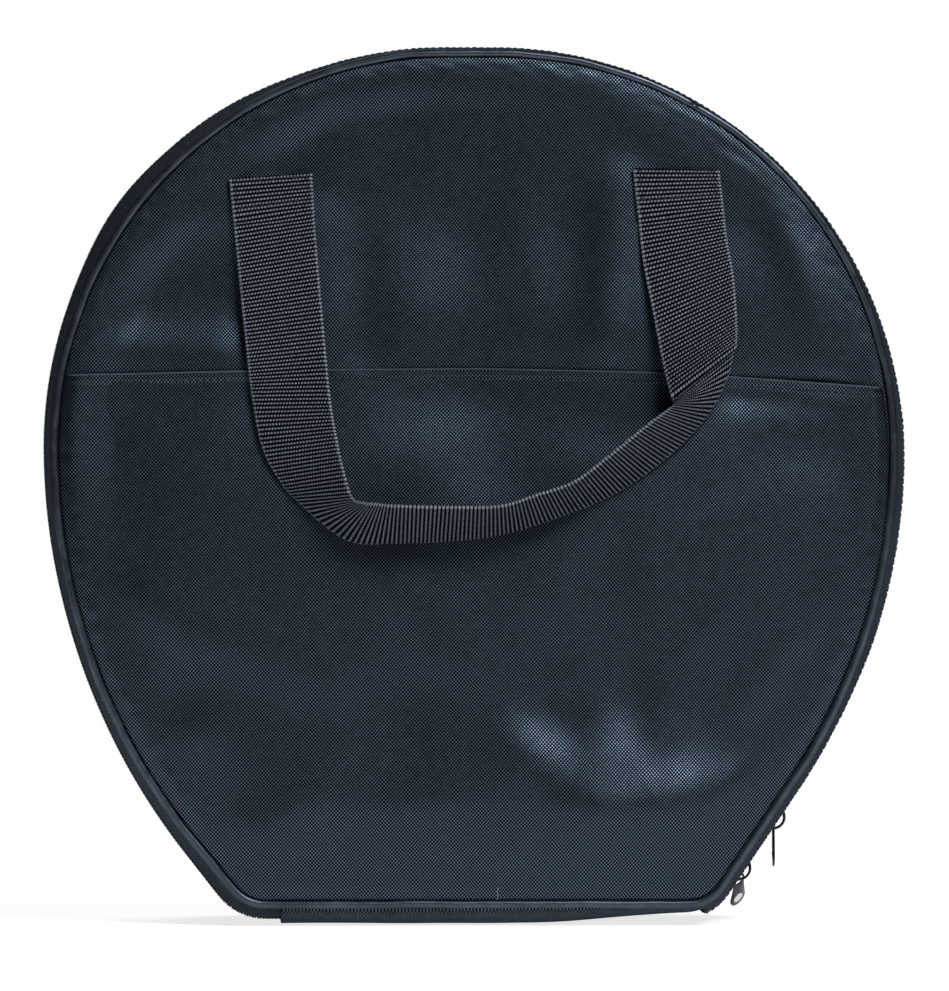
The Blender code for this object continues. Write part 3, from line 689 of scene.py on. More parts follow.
class Dressing:
    """Every piece of the bag, each built from the frame's outline and the places seen in the photograph."""

    # Height of the zip's line over the seam's, in mm, at pixels of the photograph that the piping crosses
    CREST = (
        ((740, 880), 9.4), ((800, 790), 9.6), ((850, 680), 11.1),
        ((893, 450), 11.8), ((870, 300), 10.8), ((740, 130), 9.4),
        ((475, 55), 9.0), ((300, 90), 8.8), ((235, 115), 11.0),
        ((190, 150), 10.8), ((140, 215), 12.0), ((100, 290), 8.6),
        ((65, 380), 7.2), ((57, 450), 6.6), ((75, 600), 6.0),
        ((110, 710), 6.4), ((185, 826), 7.6), ((250, 890), 9.0),
    )
    # Strap of the front: outer edge's pixel, inner edge's pixel, and how far each stands out, in mm
    STRAP = (
        ((229, 179), (312, 173), 1.2, 1.2),
        ((235, 240), (315, 226), 1.8, 2.0),
        ((241, 303), (320, 290), 5, 6),
        ((247, 360), (325, 352), 5.5, 13),
        ((252, 400), (329, 400), 6, 22),
        ((262, 448), (335, 440), 7, 27),
        ((281, 483), (342, 475), 7, 33),
        ((299, 503), (350, 500), 7, 37),
        ((330, 530), (362, 505), 7, 40),
        ((355, 543), (372, 506), 7.2, 41),
        ((394, 544), (394, 508), 7.4, 42),
        ((448, 542), (448, 509), 7.6, 42),
        ((501, 535), (497, 508), 7.8, 42),
        ((547, 521), (533, 497), 8, 41.5),
        ((590, 505), (570, 484), 8, 41),
        ((632, 483), (603, 460), 8, 40),
        ((677, 448), (640, 430), 8.5, 38.5),
        ((708, 414), (668, 409), 8, 31),
        ((727, 378), (674, 404), 9, 20),
        ((733, 352), (671, 402), 13, 22),
        ((736, 345), (669, 396), 17, 24),
        ((737, 322), (662, 364), 14, 14),
        ((734, 276), (652, 310), 8.5, 9),
        ((728, 240), (643, 262), 5.5, 5.5),
        ((724, 205), (638, 215), 2.2, 2.2),
        ((720, 169), (633, 168), 1.2, 1.2),
    )
    MOUTH = ((68, 376), (280, 371), (480, 369), (690, 374), (888, 388))

    def __init__(self):
        self.outline = Outline()
        self.front_waves = Waves(11, 35 * MM, 150 * MM)
        self.back_waves = Waves(12, 45 * MM, 170 * MM)
        self.pocket_waves = Waves(13, 28 * MM, 110 * MM)
        self.pucker_waves = Waves(14, 5 * MM, 16 * MM)
        places = [self.outline.nearest(pixel) for pixel, _ in self.CREST]
        heights = np.interp(self.outline.s, places, [height * MM for _, height in self.CREST])
        blur = np.hanning(61)
        wide = np.pad(heights, 30, mode="edge")
        self.crest_heights = np.convolve(wide, blur / blur.sum(), mode="valid")

    def materials(self):
        """Cloths, webbing, zip, metal and threads, with their colours from dark to light."""
        # In each weave below, the first colour is painted shade in the hollows between the yarns and the
        # second is the yarns' tops, painted lit.
        self.nylon = plain_weave(
            "Woven nylon", YARN_PITCH, (0.0003, 0.0004, 0.0005), (0.0075, 0.0092, 0.0115), roughness=0.33,
            specular=1.0, tint=SHEEN_BLUE, depth=0.03 * MM, painted_hollow_shade=True,
        )
        self.side_nylon = plain_weave(
            "Side nylon", YARN_PITCH, (0.0030, 0.0036, 0.0048), (0.072, 0.092, 0.122), roughness=0.6,
            specular=0.0, tint=SHEEN_BLUE, depth=0.05 * MM,
        )
        # The pocket's hem: its lighter colour is a painted highlight along the fold of the mouth.
        self.edge = plain_weave(
            "Hem nylon with painted highlight", (0.5 * MM, 0.5 * MM), (0.012, 0.016, 0.021), (0.07, 0.085, 0.10), roughness=0.5,
            specular=0.5, tint=SHEEN_BLUE, depth=0.03 * MM,
        )
        self.lining = plain_weave(
            "Lining", (0.4 * MM, 0.4 * MM), (0.006, 0.006, 0.007), (0.03, 0.03, 0.033), roughness=0.6,
            specular=0.1, tint=(1, 1, 1), depth=0.03 * MM,
        )
        self.vinyl = smooth_vinyl("Piping vinyl")
        self.webbing = ribbed_webbing("Webbing")
        self.metal = dark_metal("Black nickel", (0.022, 0.022, 0.025), (0.05, 0.05, 0.055), 0.24)
        self.polished = dark_metal("Polished nickel", (0.5, 0.5, 0.51), (0.68, 0.68, 0.7), 0.08)
        self.coil = nylon_coil("Zip coil")
        self.tape = knitted_tape("Zip tape")
        self.thread = sewing_thread("Thread", (0.004, 0.005, 0.007), (0.022, 0.027, 0.036))
        self.loose_thread = sewing_thread("Loose thread", (0.13, 0.15, 0.18), (0.26, 0.29, 0.34))

    def finish(self, obj, label, slot, *nodes):
        """Puts a piece on its half of the bag and hides the frame's nodes that it stands for."""
        if nodes:
            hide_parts(*nodes)
        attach(obj, f"{label}_half")

    def panel_out(self, x, z, side, inset):
        """How far a panel's outer face stands out from its flat place in the frame."""
        crown = 1.5 * MM * (1 - np.exp(-inset / (10 * MM))) + 3 * MM * smooth(0, 110 * MM, inset)
        if side == FRONT:
            soft = 0.55 * MM * self.front_waves(x, z)
            for start, end, width, height in PANEL_FOLDS:
                soft = soft + stroke(x, z, start, end, width * MM, height * MM)
        else:
            soft = 1.1 * MM * self.back_waves(x, z) - 2.4 * MM * bell(z - 260 * MM, 80 * MM)
            soft = soft + 3.5 * MM * bell(z - 60 * MM, 50 * MM) * bell(x, 100 * MM)
        pucker = 0.3 * MM * self.pucker_waves(x, z) * bell(inset, 10 * MM)
        return crown + soft * smooth(2 * MM, 26 * MM, inset) + pucker * smooth(0, 3 * MM, inset)

    def pocket_out(self, x, z, inset):
        """How far the pocket's cloth stands out from the front panel's flat place in the frame."""
        soft = 0.5 * MM * self.pocket_waves(x, z)
        for start, end, width, height in POCKET_FOLDS:
            soft = soft + stroke(x, z, start, end, width * MM, height * MM)
        near = smooth(1 * MM, 24 * MM, inset)
        slack = 3.5 * MM * smooth(0, 45 * MM, inset) * smooth(-8 * MM, 45 * MM, self.mouth_height(x) - z)
        pucker = 0.4 * MM * self.pucker_waves(z, x) * bell(inset, 9 * MM)
        free = slack + soft * near
        lift = 0.7 * MM + pucker + 0.5 * (free + np.sqrt(free**2 + (2.5 * MM) ** 2))
        return self.panel_out(x, z, FRONT, inset) + lift * smooth(0, 6 * MM, inset)

    def pads(self, side, label):
        """The panel with its foam and lining, one closed pad whose edge lies in the piping's seam."""
        outline = self.outline
        columns = outline.count // 2
        s = np.linspace(0, outline.length, columns, endpoint=False)
        ex, ez, nx, nz = outline.at(s)
        ex, ez = ex - PAD_EDGE * nx, ez - PAD_EDGE * nz
        cx, cz = PAD_CENTRE
        rings = 90
        share = 1 - (1 - np.linspace(0.004, 1, rings)) ** 1.5
        x = cx + share[:, None] * (ex - cx)[None]
        z = cz + share[:, None] * (ez - cz)[None]
        inset = np.maximum(outline.inset(x, z) - PAD_EDGE, 0)
        out = self.panel_out(x, z, side, inset)
        outer = np.stack((x, side * (HALF_DEPTH + out), z), -1)
        quilt = 1.1 * MM * (1 - np.exp(-inset / (8 * MM)))
        y_in = side * (HALF_DEPTH - PAD_THICKNESS - quilt + np.minimum(out, 0))
        inner = np.stack((x, y_in, z), -1)[::-1]
        turned = 0.4 * MM
        middle = 0 * nx + side * (HALF_DEPTH - 1.6 * MM)
        rim = np.stack((x[-1] + turned * nx, middle, z[-1] + turned * nz), -1)
        points = np.concatenate((outer, rim[None], inner))
        uv = np.stack((points[..., 0] * -side, points[..., 2]), -1)
        uv = np.concatenate((uv, uv[:, :1]), 1)
        lined = (np.arange(len(points) - 1) >= rings).astype(int)[:, None]
        shape = Shape()
        shape.grid(points, around=True, uv=uv, caps=True, material=lined)
        pad = shape.build(f"{label}_pad", self.nylon, self.lining)
        self.finish(pad, label, "woven_nylon", f"{label}_panel", f"{label}_padding")

    def piping(self, side, label):
        """Vinyl sewn round a cord. It laps over its own end on the base and has one nick at a shoulder."""
        outline = self.outline
        s = outline.s[:-1]
        lift = 0.35 * MM * self.pucker_waves(s * 0.35, 0.2 + 0 * s)
        radius = PIPING_RADIUS * (1 + 0.03 * self.pucker_waves(s * 0.6, 0 * s))
        lap_left, lap_right = (outline.nearest(pixel) for pixel in PIPING_LAP)
        lap = smooth(lap_right - 1.5 * MM, lap_right, s) * smooth(lap_left + 1.5 * MM, lap_left, s)
        cut = bell(s - outline.nearest(PIPING_CUT), 1.3 * MM)
        radius = radius * (1 + 0.16 * lap - 0.3 * cut)
        path = outline.place(s, lift - 0.25 * MM * cut, side * PIPING_DEPTH)
        shape = Shape()
        shape.tube(path, radius, sides=16, closed=True)
        cord = shape.build(f"{label}_piping_cord", self.vinyl)
        self.finish(cord, label, "vinyl_piping", f"{label}_piping")

    def crest(self, s):
        """How far the zip's line lies outside the piping's line."""
        return np.interp(np.clip(s, 0, self.outline.side_length), self.outline.s, self.crest_heights)

    def zip_level(self, s):
        """How far the top of the zip's tapes lies outside the piping's line."""
        near = smooth(SLIDER_ZONE, SLIDER_ZONE + 50 * MM, s)
        return SLIDER_LEVEL * (1 - near) + (self.crest(s) - 1.35 * MM) * near

    def cloth_offset(self, side, s, depth):
        """How far the side's cloth lies outside the piping's line, between its seam and the zip's slot."""
        crest = self.crest(s)
        fullness = 1.35 if side == FRONT else 1.7
        dome = crest * (1 - (depth / GUSSET_EDGE) ** fullness)
        edge = self.zip_level(s) + TAPE_UNDER
        at_slot = crest * (1 - (SLOT / GUSSET_EDGE) ** fullness)
        dip = (at_slot - edge) * smooth(20 * MM, SLOT, depth)
        waves = self.front_waves if side == FRONT else self.back_waves
        ends = smooth(0, 40 * MM, s) * smooth(0, 30 * MM, self.outline.zip_end - s)
        soft = 0.7 * MM * waves(s, depth * 2) * ends * smooth(12 * MM, 40 * MM, depth)
        seam = bell(depth - GUSSET_EDGE, 14 * MM)
        pucker = 0.5 * MM * self.pucker_waves(s, depth * 0.2) * seam
        fine = 0.2 * MM * self.pucker_waves(s * 0.8, 0.3 + depth * 0.1) * smooth(30 * MM, 12 * MM, depth)
        return dome - dip + (soft + pucker + fine * ends) * smooth(0, 12 * MM, GUSSET_EDGE - depth)

    def gusset(self, side, label):
        """The side's cloth with its lining, from the piping's seam to the zip, topstitched along the zip."""
        outline = self.outline
        s = np.linspace(ZIP_START, outline.zip_end, int(outline.side_length / (1.4 * MM)))[:, None]
        near_zip = np.linspace(20 * MM, SLOT, 9)[1:]
        depth = np.concatenate((np.linspace(GUSSET_EDGE, 20 * MM, 22), near_zip))[None]
        offset = self.cloth_offset(side, s, depth)
        wall = 0.6 * MM + 2.0 * MM * smooth(SLOT, 26 * MM, depth) * smooth(0, 10 * MM, GUSSET_EDGE - depth)
        outer = outline.place(s, offset, side * depth)
        inner = outline.place(s, offset - wall, side * depth)[:, ::-1]
        seam = outline.place(s, -SEAM_ALLOWANCE, side * (GUSSET_EDGE + 0.2 * MM))
        tuck = outline.place(s, -0.9 * MM, side * (GUSSET_EDGE + 0.7 * MM))
        points = np.concatenate((outer, inner, seam, tuck), 1)
        across = np.concatenate((depth[0], depth[0][::-1], [GUSSET_EDGE] * 3))
        uv = cloth_map(s[:, 0], across)
        columns = points.shape[1]
        lined = (np.arange(columns) >= depth.size - 1) & (np.arange(columns) < 2 * depth.size)
        shape = Shape()
        shape.grid(points, around=True, uv=uv, caps=True, material=lined.astype(int)[None])
        path = np.arange(ZIP_START + 2 * MM, outline.zip_end - 2 * MM, 1.5 * MM)
        over = self.cloth_offset(side, path, TOPSTITCH_LINE + 0 * path)
        _, _, nx, nz = outline.at(path)
        normals = np.stack((nx, 0 * nx, nz), 1)
        shape.stitches(outline.place(path, over + 0.12 * MM, side * TOPSTITCH_LINE), normals, material=2)
        cloth = shape.build(f"{label}_side_cloth", self.side_nylon, self.lining, self.thread)
        self.finish(cloth, label, "woven_nylon", f"{label}_side_gusset")

    def base(self):
        """The cloth under the bag, in one piece from seam to seam, over both ends of the zip."""
        outline = self.outline
        s = np.linspace(outline.zip_end - 3 * MM, outline.length + ZIP_START + 3 * MM, 190)[:, None]
        edge = GUSSET_EDGE
        outside = np.linspace(40 * MM, edge, 16)
        depth = np.concatenate((-outside[::-1], np.linspace(-39 * MM, 39 * MM, 60), outside))[None]
        rounding = 26 * MM
        past = np.maximum(np.abs(depth) - (edge - rounding), 0) / rounding
        full = BASE_RISE - 0.12 * MM
        _, z, _, _ = outline.at(s)
        lifted = 1 - 0.5 * smooth(-70 * MM, ZIP_START, s - outline.length)
        rise = full * lifted * np.sqrt(np.maximum(1 - past**2, 0))
        waves = 0.4 * MM * (1 + self.back_waves(s * 1.5, depth)) * smooth(0, 12 * MM, edge - np.abs(depth))
        offset = rise - waves
        offset = np.minimum(offset, (z - 0.05 * MM) + 0 * offset)
        wall = 0.6 * MM + 2.2 * MM * smooth(0, 10 * MM, edge - np.abs(depth))
        outer = outline.place(s, offset, depth)
        inner = outline.place(s, offset - wall, depth)[:, ::-1]
        right = outline.place(s, -SEAM_ALLOWANCE, edge + 0.2 * MM + 0 * s)
        left = outline.place(s, -SEAM_ALLOWANCE, -edge - 0.2 * MM + 0 * s)
        points = np.concatenate((outer, right, inner, left), 1)
        across = np.concatenate((depth[0], [edge], depth[0][::-1], [-edge, -edge]))
        uv = cloth_map(s[:, 0], across)
        columns = np.arange(points.shape[1])
        lined = (columns > depth.size) & (columns < 2 * depth.size)
        shape = Shape()
        shape.grid(points, around=True, uv=uv, caps=True, material=lined.astype(int)[None])
        cloth = shape.build("base_cloth", self.side_nylon, self.lining)
        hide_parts("front_base_gusset", "back_base_gusset")
        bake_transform(cloth)

    def zip_half(self, side, label):
        """One tape of the zip and its row of the coil, bend by bend."""
        outline = self.outline
        s = np.arange(ZIP_START, outline.zip_end, 1.5 * MM)[:, None]
        level = self.zip_level(s)
        depth = np.array((0.25, 0.25, 0.6, 5, 9, TAPE_HALF_WIDTH / MM, TAPE_HALF_WIDTH / MM, 9, 5, 0.6)) * MM
        down = np.array((0.55, 0.15, 0.0, 0.0, 0.0, 0.0, 0.6, 0.6, 0.6, 0.6)) * MM
        under = self.cloth_offset(side, s, np.maximum(depth, SLOT)[None]) - TAPE_UNDER
        top = np.where(depth[None] > 4 * MM, np.minimum(level, under), level)
        points = outline.place(s, top - down[None], side * depth[None])
        across = np.append(depth, depth[:1])
        uv = cloth_map(s[:, 0], across)
        shape = Shape()
        shape.grid(points, around=True, uv=uv, caps=True)
        tape = shape.build(f"{label}_zip_strip", self.tape)
        self.finish(tape, label, "zip_tape", f"{label}_zip_tape")
        shape = Shape()
        teeth = np.arange(ZIP_START + 1 * MM, outline.zip_end - 1 * MM, COIL_PITCH)
        if side == BACK:
            teeth = teeth[:-1] + COIL_PITCH / 2
        x, z, nx, nz = outline.at(teeth)
        level = self.zip_level(teeth)
        zero = 0 * nx
        out = np.stack((nx, zero, nz), 1)
        along = np.stack((-nz, zero, nx), 1)
        inward = np.stack((zero, zero - side, zero), 1)
        axes = np.stack((along, inward, out), 1)
        places = outline.place(teeth, level, zero)
        bend = np.array(
            (
                (0.22, -3.3, 0.32),
                (0.20, -3.45, 0.85),
                (0.14, -3.0, 1.25),
                (0.0, -1.2, 1.30),
                (-0.12, 0.3, 1.32),
                (-0.16, 0.85, 1.0),
                (-0.16, 0.9, 0.62),
                (-0.1, 0.2, 0.34),
            )
        ) * MM
        ring = Shape()
        ring.tube(bend, COIL_WIRE, sides=COIL_SIDES, upright=np.array((1.0, 0.0, 0.0)))
        pattern = ring.points[0].reshape(len(bend), COIL_SIDES, 3)
        shape.copies(pattern, places, axes)
        coil = shape.build(f"{label}_zip_coil", self.coil)
        self.finish(coil, label, "zip_teeth", f"{label}_zip_teeth")

    def mouth_height(self, x):
        """Height of the pocket's mouth over the ground."""
        places = [at_pixel(*pixel) for pixel in self.MOUTH]
        return np.interp(x, [p[0] for p in places], [p[1] for p in places])

    def pocket_face(self, x, z, inset):
        """The pocket's outer face: its soft form, the wider mouth at the right and the hem's two layers."""
        below = np.maximum(self.mouth_height(x) - z, 0)
        px = x / PIXEL + PIXEL_X
        gape = 2.2 * MM * smooth(725, 800, px) * smooth(905, 850, px) * bell(below, 22 * MM)
        hem = 0.45 * MM * smooth(HEM_LINE + 0.8 * MM, HEM_LINE, below)
        seam = 0.3 * MM * bell(below - HEM_LINE, 0.5 * MM)
        spread = smooth(0, 20 * MM, inset)
        layers = (hem - seam) * smooth(0, 4 * MM, inset) + 0.3 * MM
        return self.pocket_out(x, z, inset) + gape * spread + layers

    def pocket(self):
        """The slip pocket: a sheet of cloth over the lower front, open along its top edge."""
        outline = self.outline
        rows, columns = 190, 260
        bottom = BASE_RISE + POCKET_EDGE + 0.1 * MM
        reach = POCKET_HEIGHT - bottom
        fine = np.linspace(0, 1, rows - 14) ** 1.1 * (1 - 5 * MM / reach)
        share = np.concatenate((fine, np.linspace(1 - 4.8 * MM / reach, 1, 14)))
        x = np.empty((rows, columns))
        z = np.empty((rows, columns))
        for r, height in enumerate(bottom + reach * share):
            left, right = outline.span_at(height, POCKET_EDGE)
            x[r] = left + (right - left) * np.linspace(0, 1, columns)
            z[r] = height
        z = z + smooth(0.35, 0.95, (z - bottom) / reach) * (self.mouth_height(x) - POCKET_HEIGHT)
        inset = np.maximum(outline.inset(x, z) - POCKET_EDGE, 0)
        y = -HALF_DEPTH - self.pocket_face(x, z, inset)
        face = np.stack((x, y, z), -1)
        rear = np.stack((x, np.minimum(y + 0.8 * MM, -HALF_DEPTH - 0.1 * MM), z), -1)
        ring = np.concatenate((face, rear[:, ::-1]), 1)
        flat = np.stack((x, z), -1)
        uv = np.concatenate((flat, flat[:, ::-1], flat[:, :1]), 1)
        shape = Shape()
        shape.grid(ring, around=True, uv=uv)
        for row in (0, rows - 1):
            end = np.stack((face[row], rear[row]))
            shape.grid(end, uv=np.stack((flat[row], flat[row])))
        cloth = shape.build("pocket_cloth", self.nylon)
        self.finish(cloth, "front", "woven_nylon", "front_pocket")
        lip_path = face[-1, 1:-1] + np.array((0.0, 0.1, 0.1)) * MM
        shape = Shape()
        shape.tube(lip_path, 0.42 * MM, sides=8)
        # The hem's lighter colour is a painted highlight along the fold of the mouth.
        hem = shape.build("pocket_hem", self.edge)
        self.finish(hem, "front", "woven_nylon")
        shape = Shape()
        line_x = np.linspace(x[-1, 3], x[-1, -4], 600)
        line_z = self.mouth_height(line_x) - HEM_LINE
        inset = np.maximum(outline.inset(line_x, line_z) - POCKET_EDGE, 0)
        out = self.pocket_face(line_x, line_z, inset) + 0.05 * MM
        line = np.stack((line_x, -HALF_DEPTH - out, line_z), 1)
        shape.stitches(line, 0 * line + np.array((0.0, -1.0, 0.0)))
        sewn = shape.build("pocket_stitches", self.thread)
        self.finish(sewn, "front", "woven_nylon")

    def strap(self, side, label):
        """A handle of ribbed webbing, sewn down at both ends. The back's mirrors the front's."""
        stations = []
        for outer_pixel, inner_pixel, outer_out, inner_out in self.STRAP:
            for pixel, out in ((outer_pixel, outer_out), (inner_pixel, inner_out)):
                x, z = at_pixel(*pixel)
                nearer = 1 - out * MM / CAMERA_DISTANCE
                stations.append((x * nearer, out * MM, CAMERA_TARGET.z + (z - CAMERA_TARGET.z) * nearer))
        count, wide = 1700, 44
        path = route(np.array(stations).reshape(-1, 6), count).reshape(count, 2, 3)
        across = np.linspace(0, 1, wide)[None, :, None]
        flat = path[:, :1] * (1 - across) + path[:, 1:] * across
        x, out, z = flat[..., 0], flat[..., 1], flat[..., 2]
        if side == BACK:
            x = -x
        inset = self.outline.inset(x, z)
        floor = self.panel_out(x, z, side, np.maximum(inset - PAD_EDGE, 0))
        if side == FRONT:
            cover = self.pocket_face(x, z, np.maximum(inset - POCKET_EDGE, 0)) + 0.2 * MM
            floor = np.where(z < self.mouth_height(x) + 3 * MM, cover, floor)
        sewn = smooth(HINGE_HEIGHT - 1 * MM, HINGE_HEIGHT + 4 * MM, z)
        out = np.maximum(out, floor + 1.0 * MM) + 1.4 * MM * sewn
        centre = np.stack((x, side * (HALF_DEPTH + out), z), -1)
        normal = unit(np.cross(np.gradient(centre, axis=0), np.gradient(centre, axis=1)))
        normal = normal * np.sign((normal[: count // 6, :, 1] * side).mean())
        along = lengths(centre[:, wide // 2])[:, None]
        rib = 0.16 * MM * np.abs(np.sin(math.pi * along / ROW_PITCH)) ** 0.7
        edge = smooth(0, 0.05, across[..., 0]) * smooth(1, 0.95, across[..., 0])
        half = (WEBBING_HALF_THICKNESS - 0.14 * MM + rib) * (0.55 + 0.45 * edge)
        face = centre + normal * half[..., None]
        rear = centre - normal * (half + 1.4 * MM * sewn)[..., None]
        ring = np.concatenate((face, rear[:, ::-1]), 1)
        width = np.linspace(0, WEBBING_WIDTH, wide)
        width = np.concatenate((width, width[::-1], width[:1]))
        uv = cloth_map(along[:, 0], width)
        shape = Shape()
        shape.grid(ring, around=True, uv=uv, caps=True)
        for first, last in ((2, 52), (count - 53, count - 3)):
            self.box_stitch(shape, face, normal, first, last, wide)
        strap = shape.build(f"{label}_handle_strap", self.webbing, self.thread)
        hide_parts(*[f"{label}_handle_{part}" for part in ("left_end", "right_end", "loop")])
        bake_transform(strap)

    def box_stitch(self, shape, face, normal, first, last, wide):
        """A sewn oblong that holds one end of a strap."""
        low, high = 3, wide - 4
        rows = np.arange(first, last + 1)
        columns = np.arange(low, high + 1)
        for i, j in (
            (rows, low + 0 * rows),
            (rows, high + 0 * rows),
            (first + 4 + 0 * columns, columns),
            (last - 4 + 0 * columns, columns),
        ):
            path = face[i, j] + 0.02 * MM * normal[i, j]
            shape.stitches(path, normal[i, j], material=1)

    def plate(self, shape, outline, low, high, bevel):
        """A flat plate with rounded edges: its outline's points, and its lowest and highest level."""
        ring = np.array(outline)
        edge = np.roll(ring, -1, 0) - np.roll(ring, 1, 0)
        inward = unit(np.stack((-edge[:, 1], edge[:, 0]), 1))
        rows = []
        for angle in np.linspace(-90, 90, 7):
            turn = math.radians(angle)
            level = low + bevel if angle < 0 else high - bevel
            if angle == 0:
                rows.append((0.0, low + bevel))
            inset = bevel * (1 - math.cos(turn))
            rows.append((inset, level + bevel * math.sin(turn)))
        points = []
        for inset, level in rows:
            points.append(np.column_stack((ring + inset * inward, np.full(len(ring), level))))
        shape.grid(np.stack(points), around=True, caps=True)

    def slider(self, label, hook):
        """A zip slider. Its own +X runs down the zip and its +Z away from the bag."""
        slant = -RIGHT_HIP_TURN
        normal = Vector((math.cos(slant), 0, math.sin(slant)))
        down = Vector((normal.z, 0, -normal.x))
        rest = TOP_PLATE[1] + BRIDGE_REACH * -math.sin(slant)
        place = hook - down * BRIDGE_REACH * math.cos(slant) - normal * rest
        axes = Matrix((down, Vector((0, 1, 0)), normal)).transposed().to_4x4()
        nose, tail = SLIDER_LENGTH / 2, -SLIDER_LENGTH / 2
        waist = tail + 4 * MM
        half = [
            (tail, TAIL_HALF_WIDTH - 0.6 * MM),
            (tail + 0.6 * MM, TAIL_HALF_WIDTH),
            (waist, TAIL_HALF_WIDTH),
            (waist + 3 * MM, NOSE_HALF_WIDTH - 0.3 * MM),
            (nose - 3.2 * MM, NOSE_HALF_WIDTH),
            (nose - 1.2 * MM, NOSE_HALF_WIDTH - 0.7 * MM),
            (nose - 0.2 * MM, NOSE_HALF_WIDTH - 2.4 * MM),
            (nose, 0.6 * MM),
        ]
        edge = [(x, -y) for x, y in half] + [(x, y) for x, y in reversed(half)]
        smaller = [(0.78 * x, 0.72 * y) for x, y in edge]
        shape = Shape()
        self.plate(shape, edge, *TOP_PLATE, PLATE_BEVEL)
        self.plate(shape, smaller, TOP_PLATE[1] - 0.5 * MM, TOP_PLATE[1] + 0.35 * MM, 0.3 * MM)
        self.plate(shape, edge, *BOTTOM_PLATE, PLATE_BEVEL)
        post = [(nose - 4 * MM, 0.0), (nose - 3 * MM, -0.55 * MM), (nose - 1.1 * MM, -0.55 * MM)]
        post = post + [(x, -y) for x, y in reversed(post[1:])]
        self.plate(shape, post, BOTTOM_PLATE[0] + 0.5 * MM, TOP_PLATE[1] - 0.5 * MM, 0.05 * MM)
        for side in (-1, 1):
            lip = np.array([(x, side * (y - 0.45 * MM), TOP_PLATE[0] - 0.05 * MM) for x, y in half[1:6]])
            shape.tube(lip, 0.42 * MM, sides=8)
        angles = np.linspace(-0.25, math.pi + 0.25, 26)
        ring = [(BRIDGE_REACH * math.cos(a), 0.0, TOP_PLATE[1] + BRIDGE_REACH * math.sin(a)) for a in angles]
        thick = BRIDGE_WIRE * (1 + 0.55 * np.abs(np.cos(angles)) ** 6)
        shape.tube(np.array(ring), thick, sides=12)
        shape.move(Matrix.Translation(place) @ axes)
        slider = shape.build(f"{label}_slider_body", self.metal, sharp=50)
        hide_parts(f"{label}_zip_slider")
        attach(slider, f"{label}_slider")

    def pull(self, label, hook, yaw, lean):
        """A zip pull that hangs from its own origin: a tab with a window at its head and a polished oval."""
        tip = -PULL_LENGTH + PULL_TIP_RADIUS
        turns = np.linspace(math.pi, math.tau, 25)
        outer = [(PULL_TIP_RADIUS * math.cos(a), tip + PULL_TIP_RADIUS * math.sin(a)) for a in turns]
        neck = PULL_NECK
        flank = [(4.0 * MM, -9.5 * MM), (3.3 * MM, -5 * MM), (neck, -2 * MM), (neck, 0.6 * MM)]
        head = np.linspace(0, math.pi, 13)
        outer += flank
        outer += [(neck * math.cos(a), 1.2 * MM + 1.5 * MM * math.sin(a)) for a in head]
        outer += [(-x, z) for x, z in reversed(flank)]
        outer = np.array(outer)
        centre = np.array(WINDOW_CENTRE)
        ray = unit(outer - centre)
        reach = 1 / (np.abs(ray / np.array(WINDOW_REACH)) ** 4).sum(1) ** 0.25
        window = centre + ray * reach[:, None]
        across = unit(outer - window)
        rows = []
        thick = PULL_HALF_THICKNESS
        for base, sign in ((outer, -1), (window, 1)):
            angles = np.linspace(-90, 90, 7) * -sign
            for angle in np.radians(angles):
                inset = PLATE_BEVEL * (1 - math.cos(angle))
                level = math.sin(angle) * thick
                flat = base + sign * inset * across
                rows.append(np.column_stack((flat[:, 0], np.full(len(flat), level), flat[:, 1])))
        shape = Shape()
        shape.grid(np.stack(rows), around=True, along=True)
        a = np.linspace(0, math.tau, 28, endpoint=False)
        for face in (-1, 1):
            oval = []
            for share in np.linspace(1, 0.04, 9):
                rise = thick - 0.08 * MM + 0.42 * MM * (1 - share**2.4)
                aside = OVAL_REACH[0] * share * np.cos(a)
                level = OVAL_LEVEL + OVAL_REACH[1] * share * np.sin(a)
                oval.append(np.column_stack((aside, 0 * a + face * rise, level)))
            shape.grid(np.stack(oval), around=True, caps=True, material=1)
        turn = Matrix.Rotation(lean, 4, "X") @ Matrix.Rotation(math.pi / 2 - yaw, 4, "Z")
        shape.move(Matrix.Translation(hook) @ turn)
        pull = shape.build(f"{label}_pull_tab", self.metal, self.polished, sharp=50)
        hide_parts(f"{label}_zip_pull")
        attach(pull, f"{label}_pull")

    def binding(self, side, label):
        """The tape that binds the seam inside."""
        outline = self.outline
        s = np.arange(0, outline.length, 2 * MM)
        wave = 0.4 * MM * self.pucker_waves(s * 0.4, 0.6 + 0 * s)
        path = outline.place(s, -6 * MM + wave, side * (HALF_DEPTH - 7.2 * MM))
        shape = Shape()
        shape.tube(path, 3.2 * MM, sides=12, closed=True, flat=0.45)
        tape = shape.build(f"{label}_seam_binding", self.tape)
        self.finish(tape, label, "zip_tape")

    def loose_end(self):
        """The light end of thread that stands up from the piping's lap on the base."""
        path = []
        for pixel, out in zip(LOOSE_THREAD, (0.4, 1.6, 2.6, 3.6)):
            x, z = at_pixel(*pixel)
            path.append((x, -HALF_DEPTH - out * MM, z))
        shape = Shape()
        shape.tube(route(np.array(path), 24), 0.16 * MM, sides=8)
        thread = shape.build("loose_thread", self.loose_thread)
        self.finish(thread, "front", "vinyl_piping")

    def build(self):
        self.materials()
        for side, label in ((FRONT, "front"), (BACK, "back")):
            self.pads(side, label)
            self.piping(side, label)
            self.gusset(side, label)
            self.zip_half(side, label)
            self.strap(side, label)
            self.binding(side, label)
        self.base()
        self.pocket()
        self.loose_end()
        self.slider("upper", UPPER_HOOK)
        self.slider("lower", LOWER_HOOK)
        self.pull("upper", UPPER_HOOK, 0.0, 0.0)
        self.pull("lower", LOWER_HOOK, LOWER_PULL_TURN, LOWER_PULL_TURN)


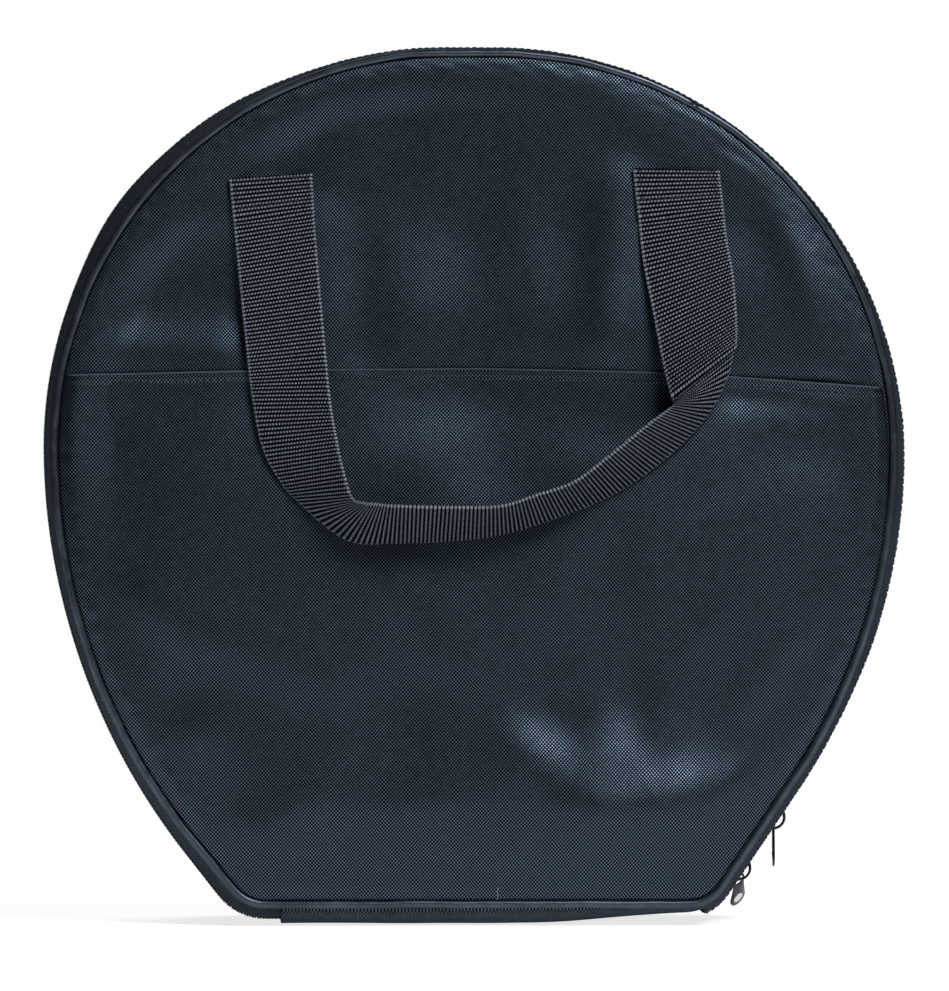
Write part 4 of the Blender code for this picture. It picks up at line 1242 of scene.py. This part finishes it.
def make_camera():
    """The photograph's own view."""
    data = bpy.data.cameras.new("Camera")
    data.sensor_width = 36
    data.lens = 36 * CAMERA_DISTANCE / PICTURE_HEIGHT
    data.clip_start = 0.1
    data.clip_end = 100
    camera = bpy.data.objects.new("Camera", data)
    level = math.cos(CAMERA_ELEVATION)
    sideways, backward = math.sin(CAMERA_AZIMUTH) * level, -math.cos(CAMERA_AZIMUTH) * level
    back = Vector((sideways, backward, math.sin(CAMERA_ELEVATION)))
    camera.location = CAMERA_TARGET + CAMERA_DISTANCE * back
    camera.rotation_mode = "QUATERNION"
    camera.rotation_quaternion = (-back).to_track_quat("-Z", "Y")
    bpy.context.scene.collection.objects.link(camera)
    bpy.context.scene.camera = camera


def area_light(name, place, aim, size, power):
    data = bpy.data.lights.new(name, "AREA")
    data.shape = "RECTANGLE"
    data.size, data.size_y = size
    data.energy = power
    light = bpy.data.objects.new(name, data)
    light.location = place
    light.rotation_mode = "QUATERNION"
    light.rotation_quaternion = (Vector(aim) - Vector(place)).to_track_quat("-Z", "Y")
    light.visible_camera = False
    bpy.context.scene.collection.objects.link(light)


def make_studio():
    """White surroundings that light the bag only faintly, two lamps and a glowing floor."""
    world = bpy.data.worlds.new("Studio")
    world.use_nodes = True
    nodes = world.node_tree.nodes
    links = world.node_tree.links
    seen = nodes["Background"]
    seen.inputs["Strength"].default_value = 1.0
    seen.inputs["Color"].default_value = (1, 1, 1, 1)
    fill = nodes.new("ShaderNodeBackground")
    fill.inputs["Color"].default_value = FILL_COLOUR
    fill.inputs["Strength"].default_value = FILL_STRENGTH
    path = nodes.new("ShaderNodeLightPath")
    mixed = nodes.new("ShaderNodeMixShader")
    links.new(path.outputs["Is Camera Ray"], mixed.inputs[0])
    links.new(fill.outputs[0], mixed.inputs[1])
    links.new(seen.outputs[0], mixed.inputs[2])
    links.new(mixed.outputs[0], nodes["World Output"].inputs["Surface"])
    bpy.context.scene.world = world
    bpy.context.scene.view_settings.view_transform = "Standard"
    for light in LIGHTS:
        area_light(*light)
    bpy.ops.mesh.primitive_circle_add(vertices=96, radius=FLOOR_RADIUS, fill_type="NGON")
    floor = bpy.context.object
    floor.name = "floor"
    material = bpy.data.materials.new("Floor")
    material.use_nodes = True
    shader = material.node_tree.nodes["Principled BSDF"]
    shader.inputs["Base Color"].default_value = (FLOOR_ALBEDO, FLOOR_ALBEDO, FLOOR_ALBEDO, 1)
    shader.inputs["Roughness"].default_value = 0.8
    shader.inputs["Emission Color"].default_value = (1, 1, 1, 1)
    shader.inputs["Emission Strength"].default_value = FLOOR_GLOW
    floor.data.materials.append(material)


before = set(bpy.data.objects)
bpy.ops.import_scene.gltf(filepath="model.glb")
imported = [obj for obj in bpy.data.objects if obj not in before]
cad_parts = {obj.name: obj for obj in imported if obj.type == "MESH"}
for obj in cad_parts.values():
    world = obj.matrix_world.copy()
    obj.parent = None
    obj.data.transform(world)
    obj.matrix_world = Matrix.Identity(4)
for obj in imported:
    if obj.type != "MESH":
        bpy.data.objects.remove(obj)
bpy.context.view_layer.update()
make_camera()
make_studio()
Dressing().build()
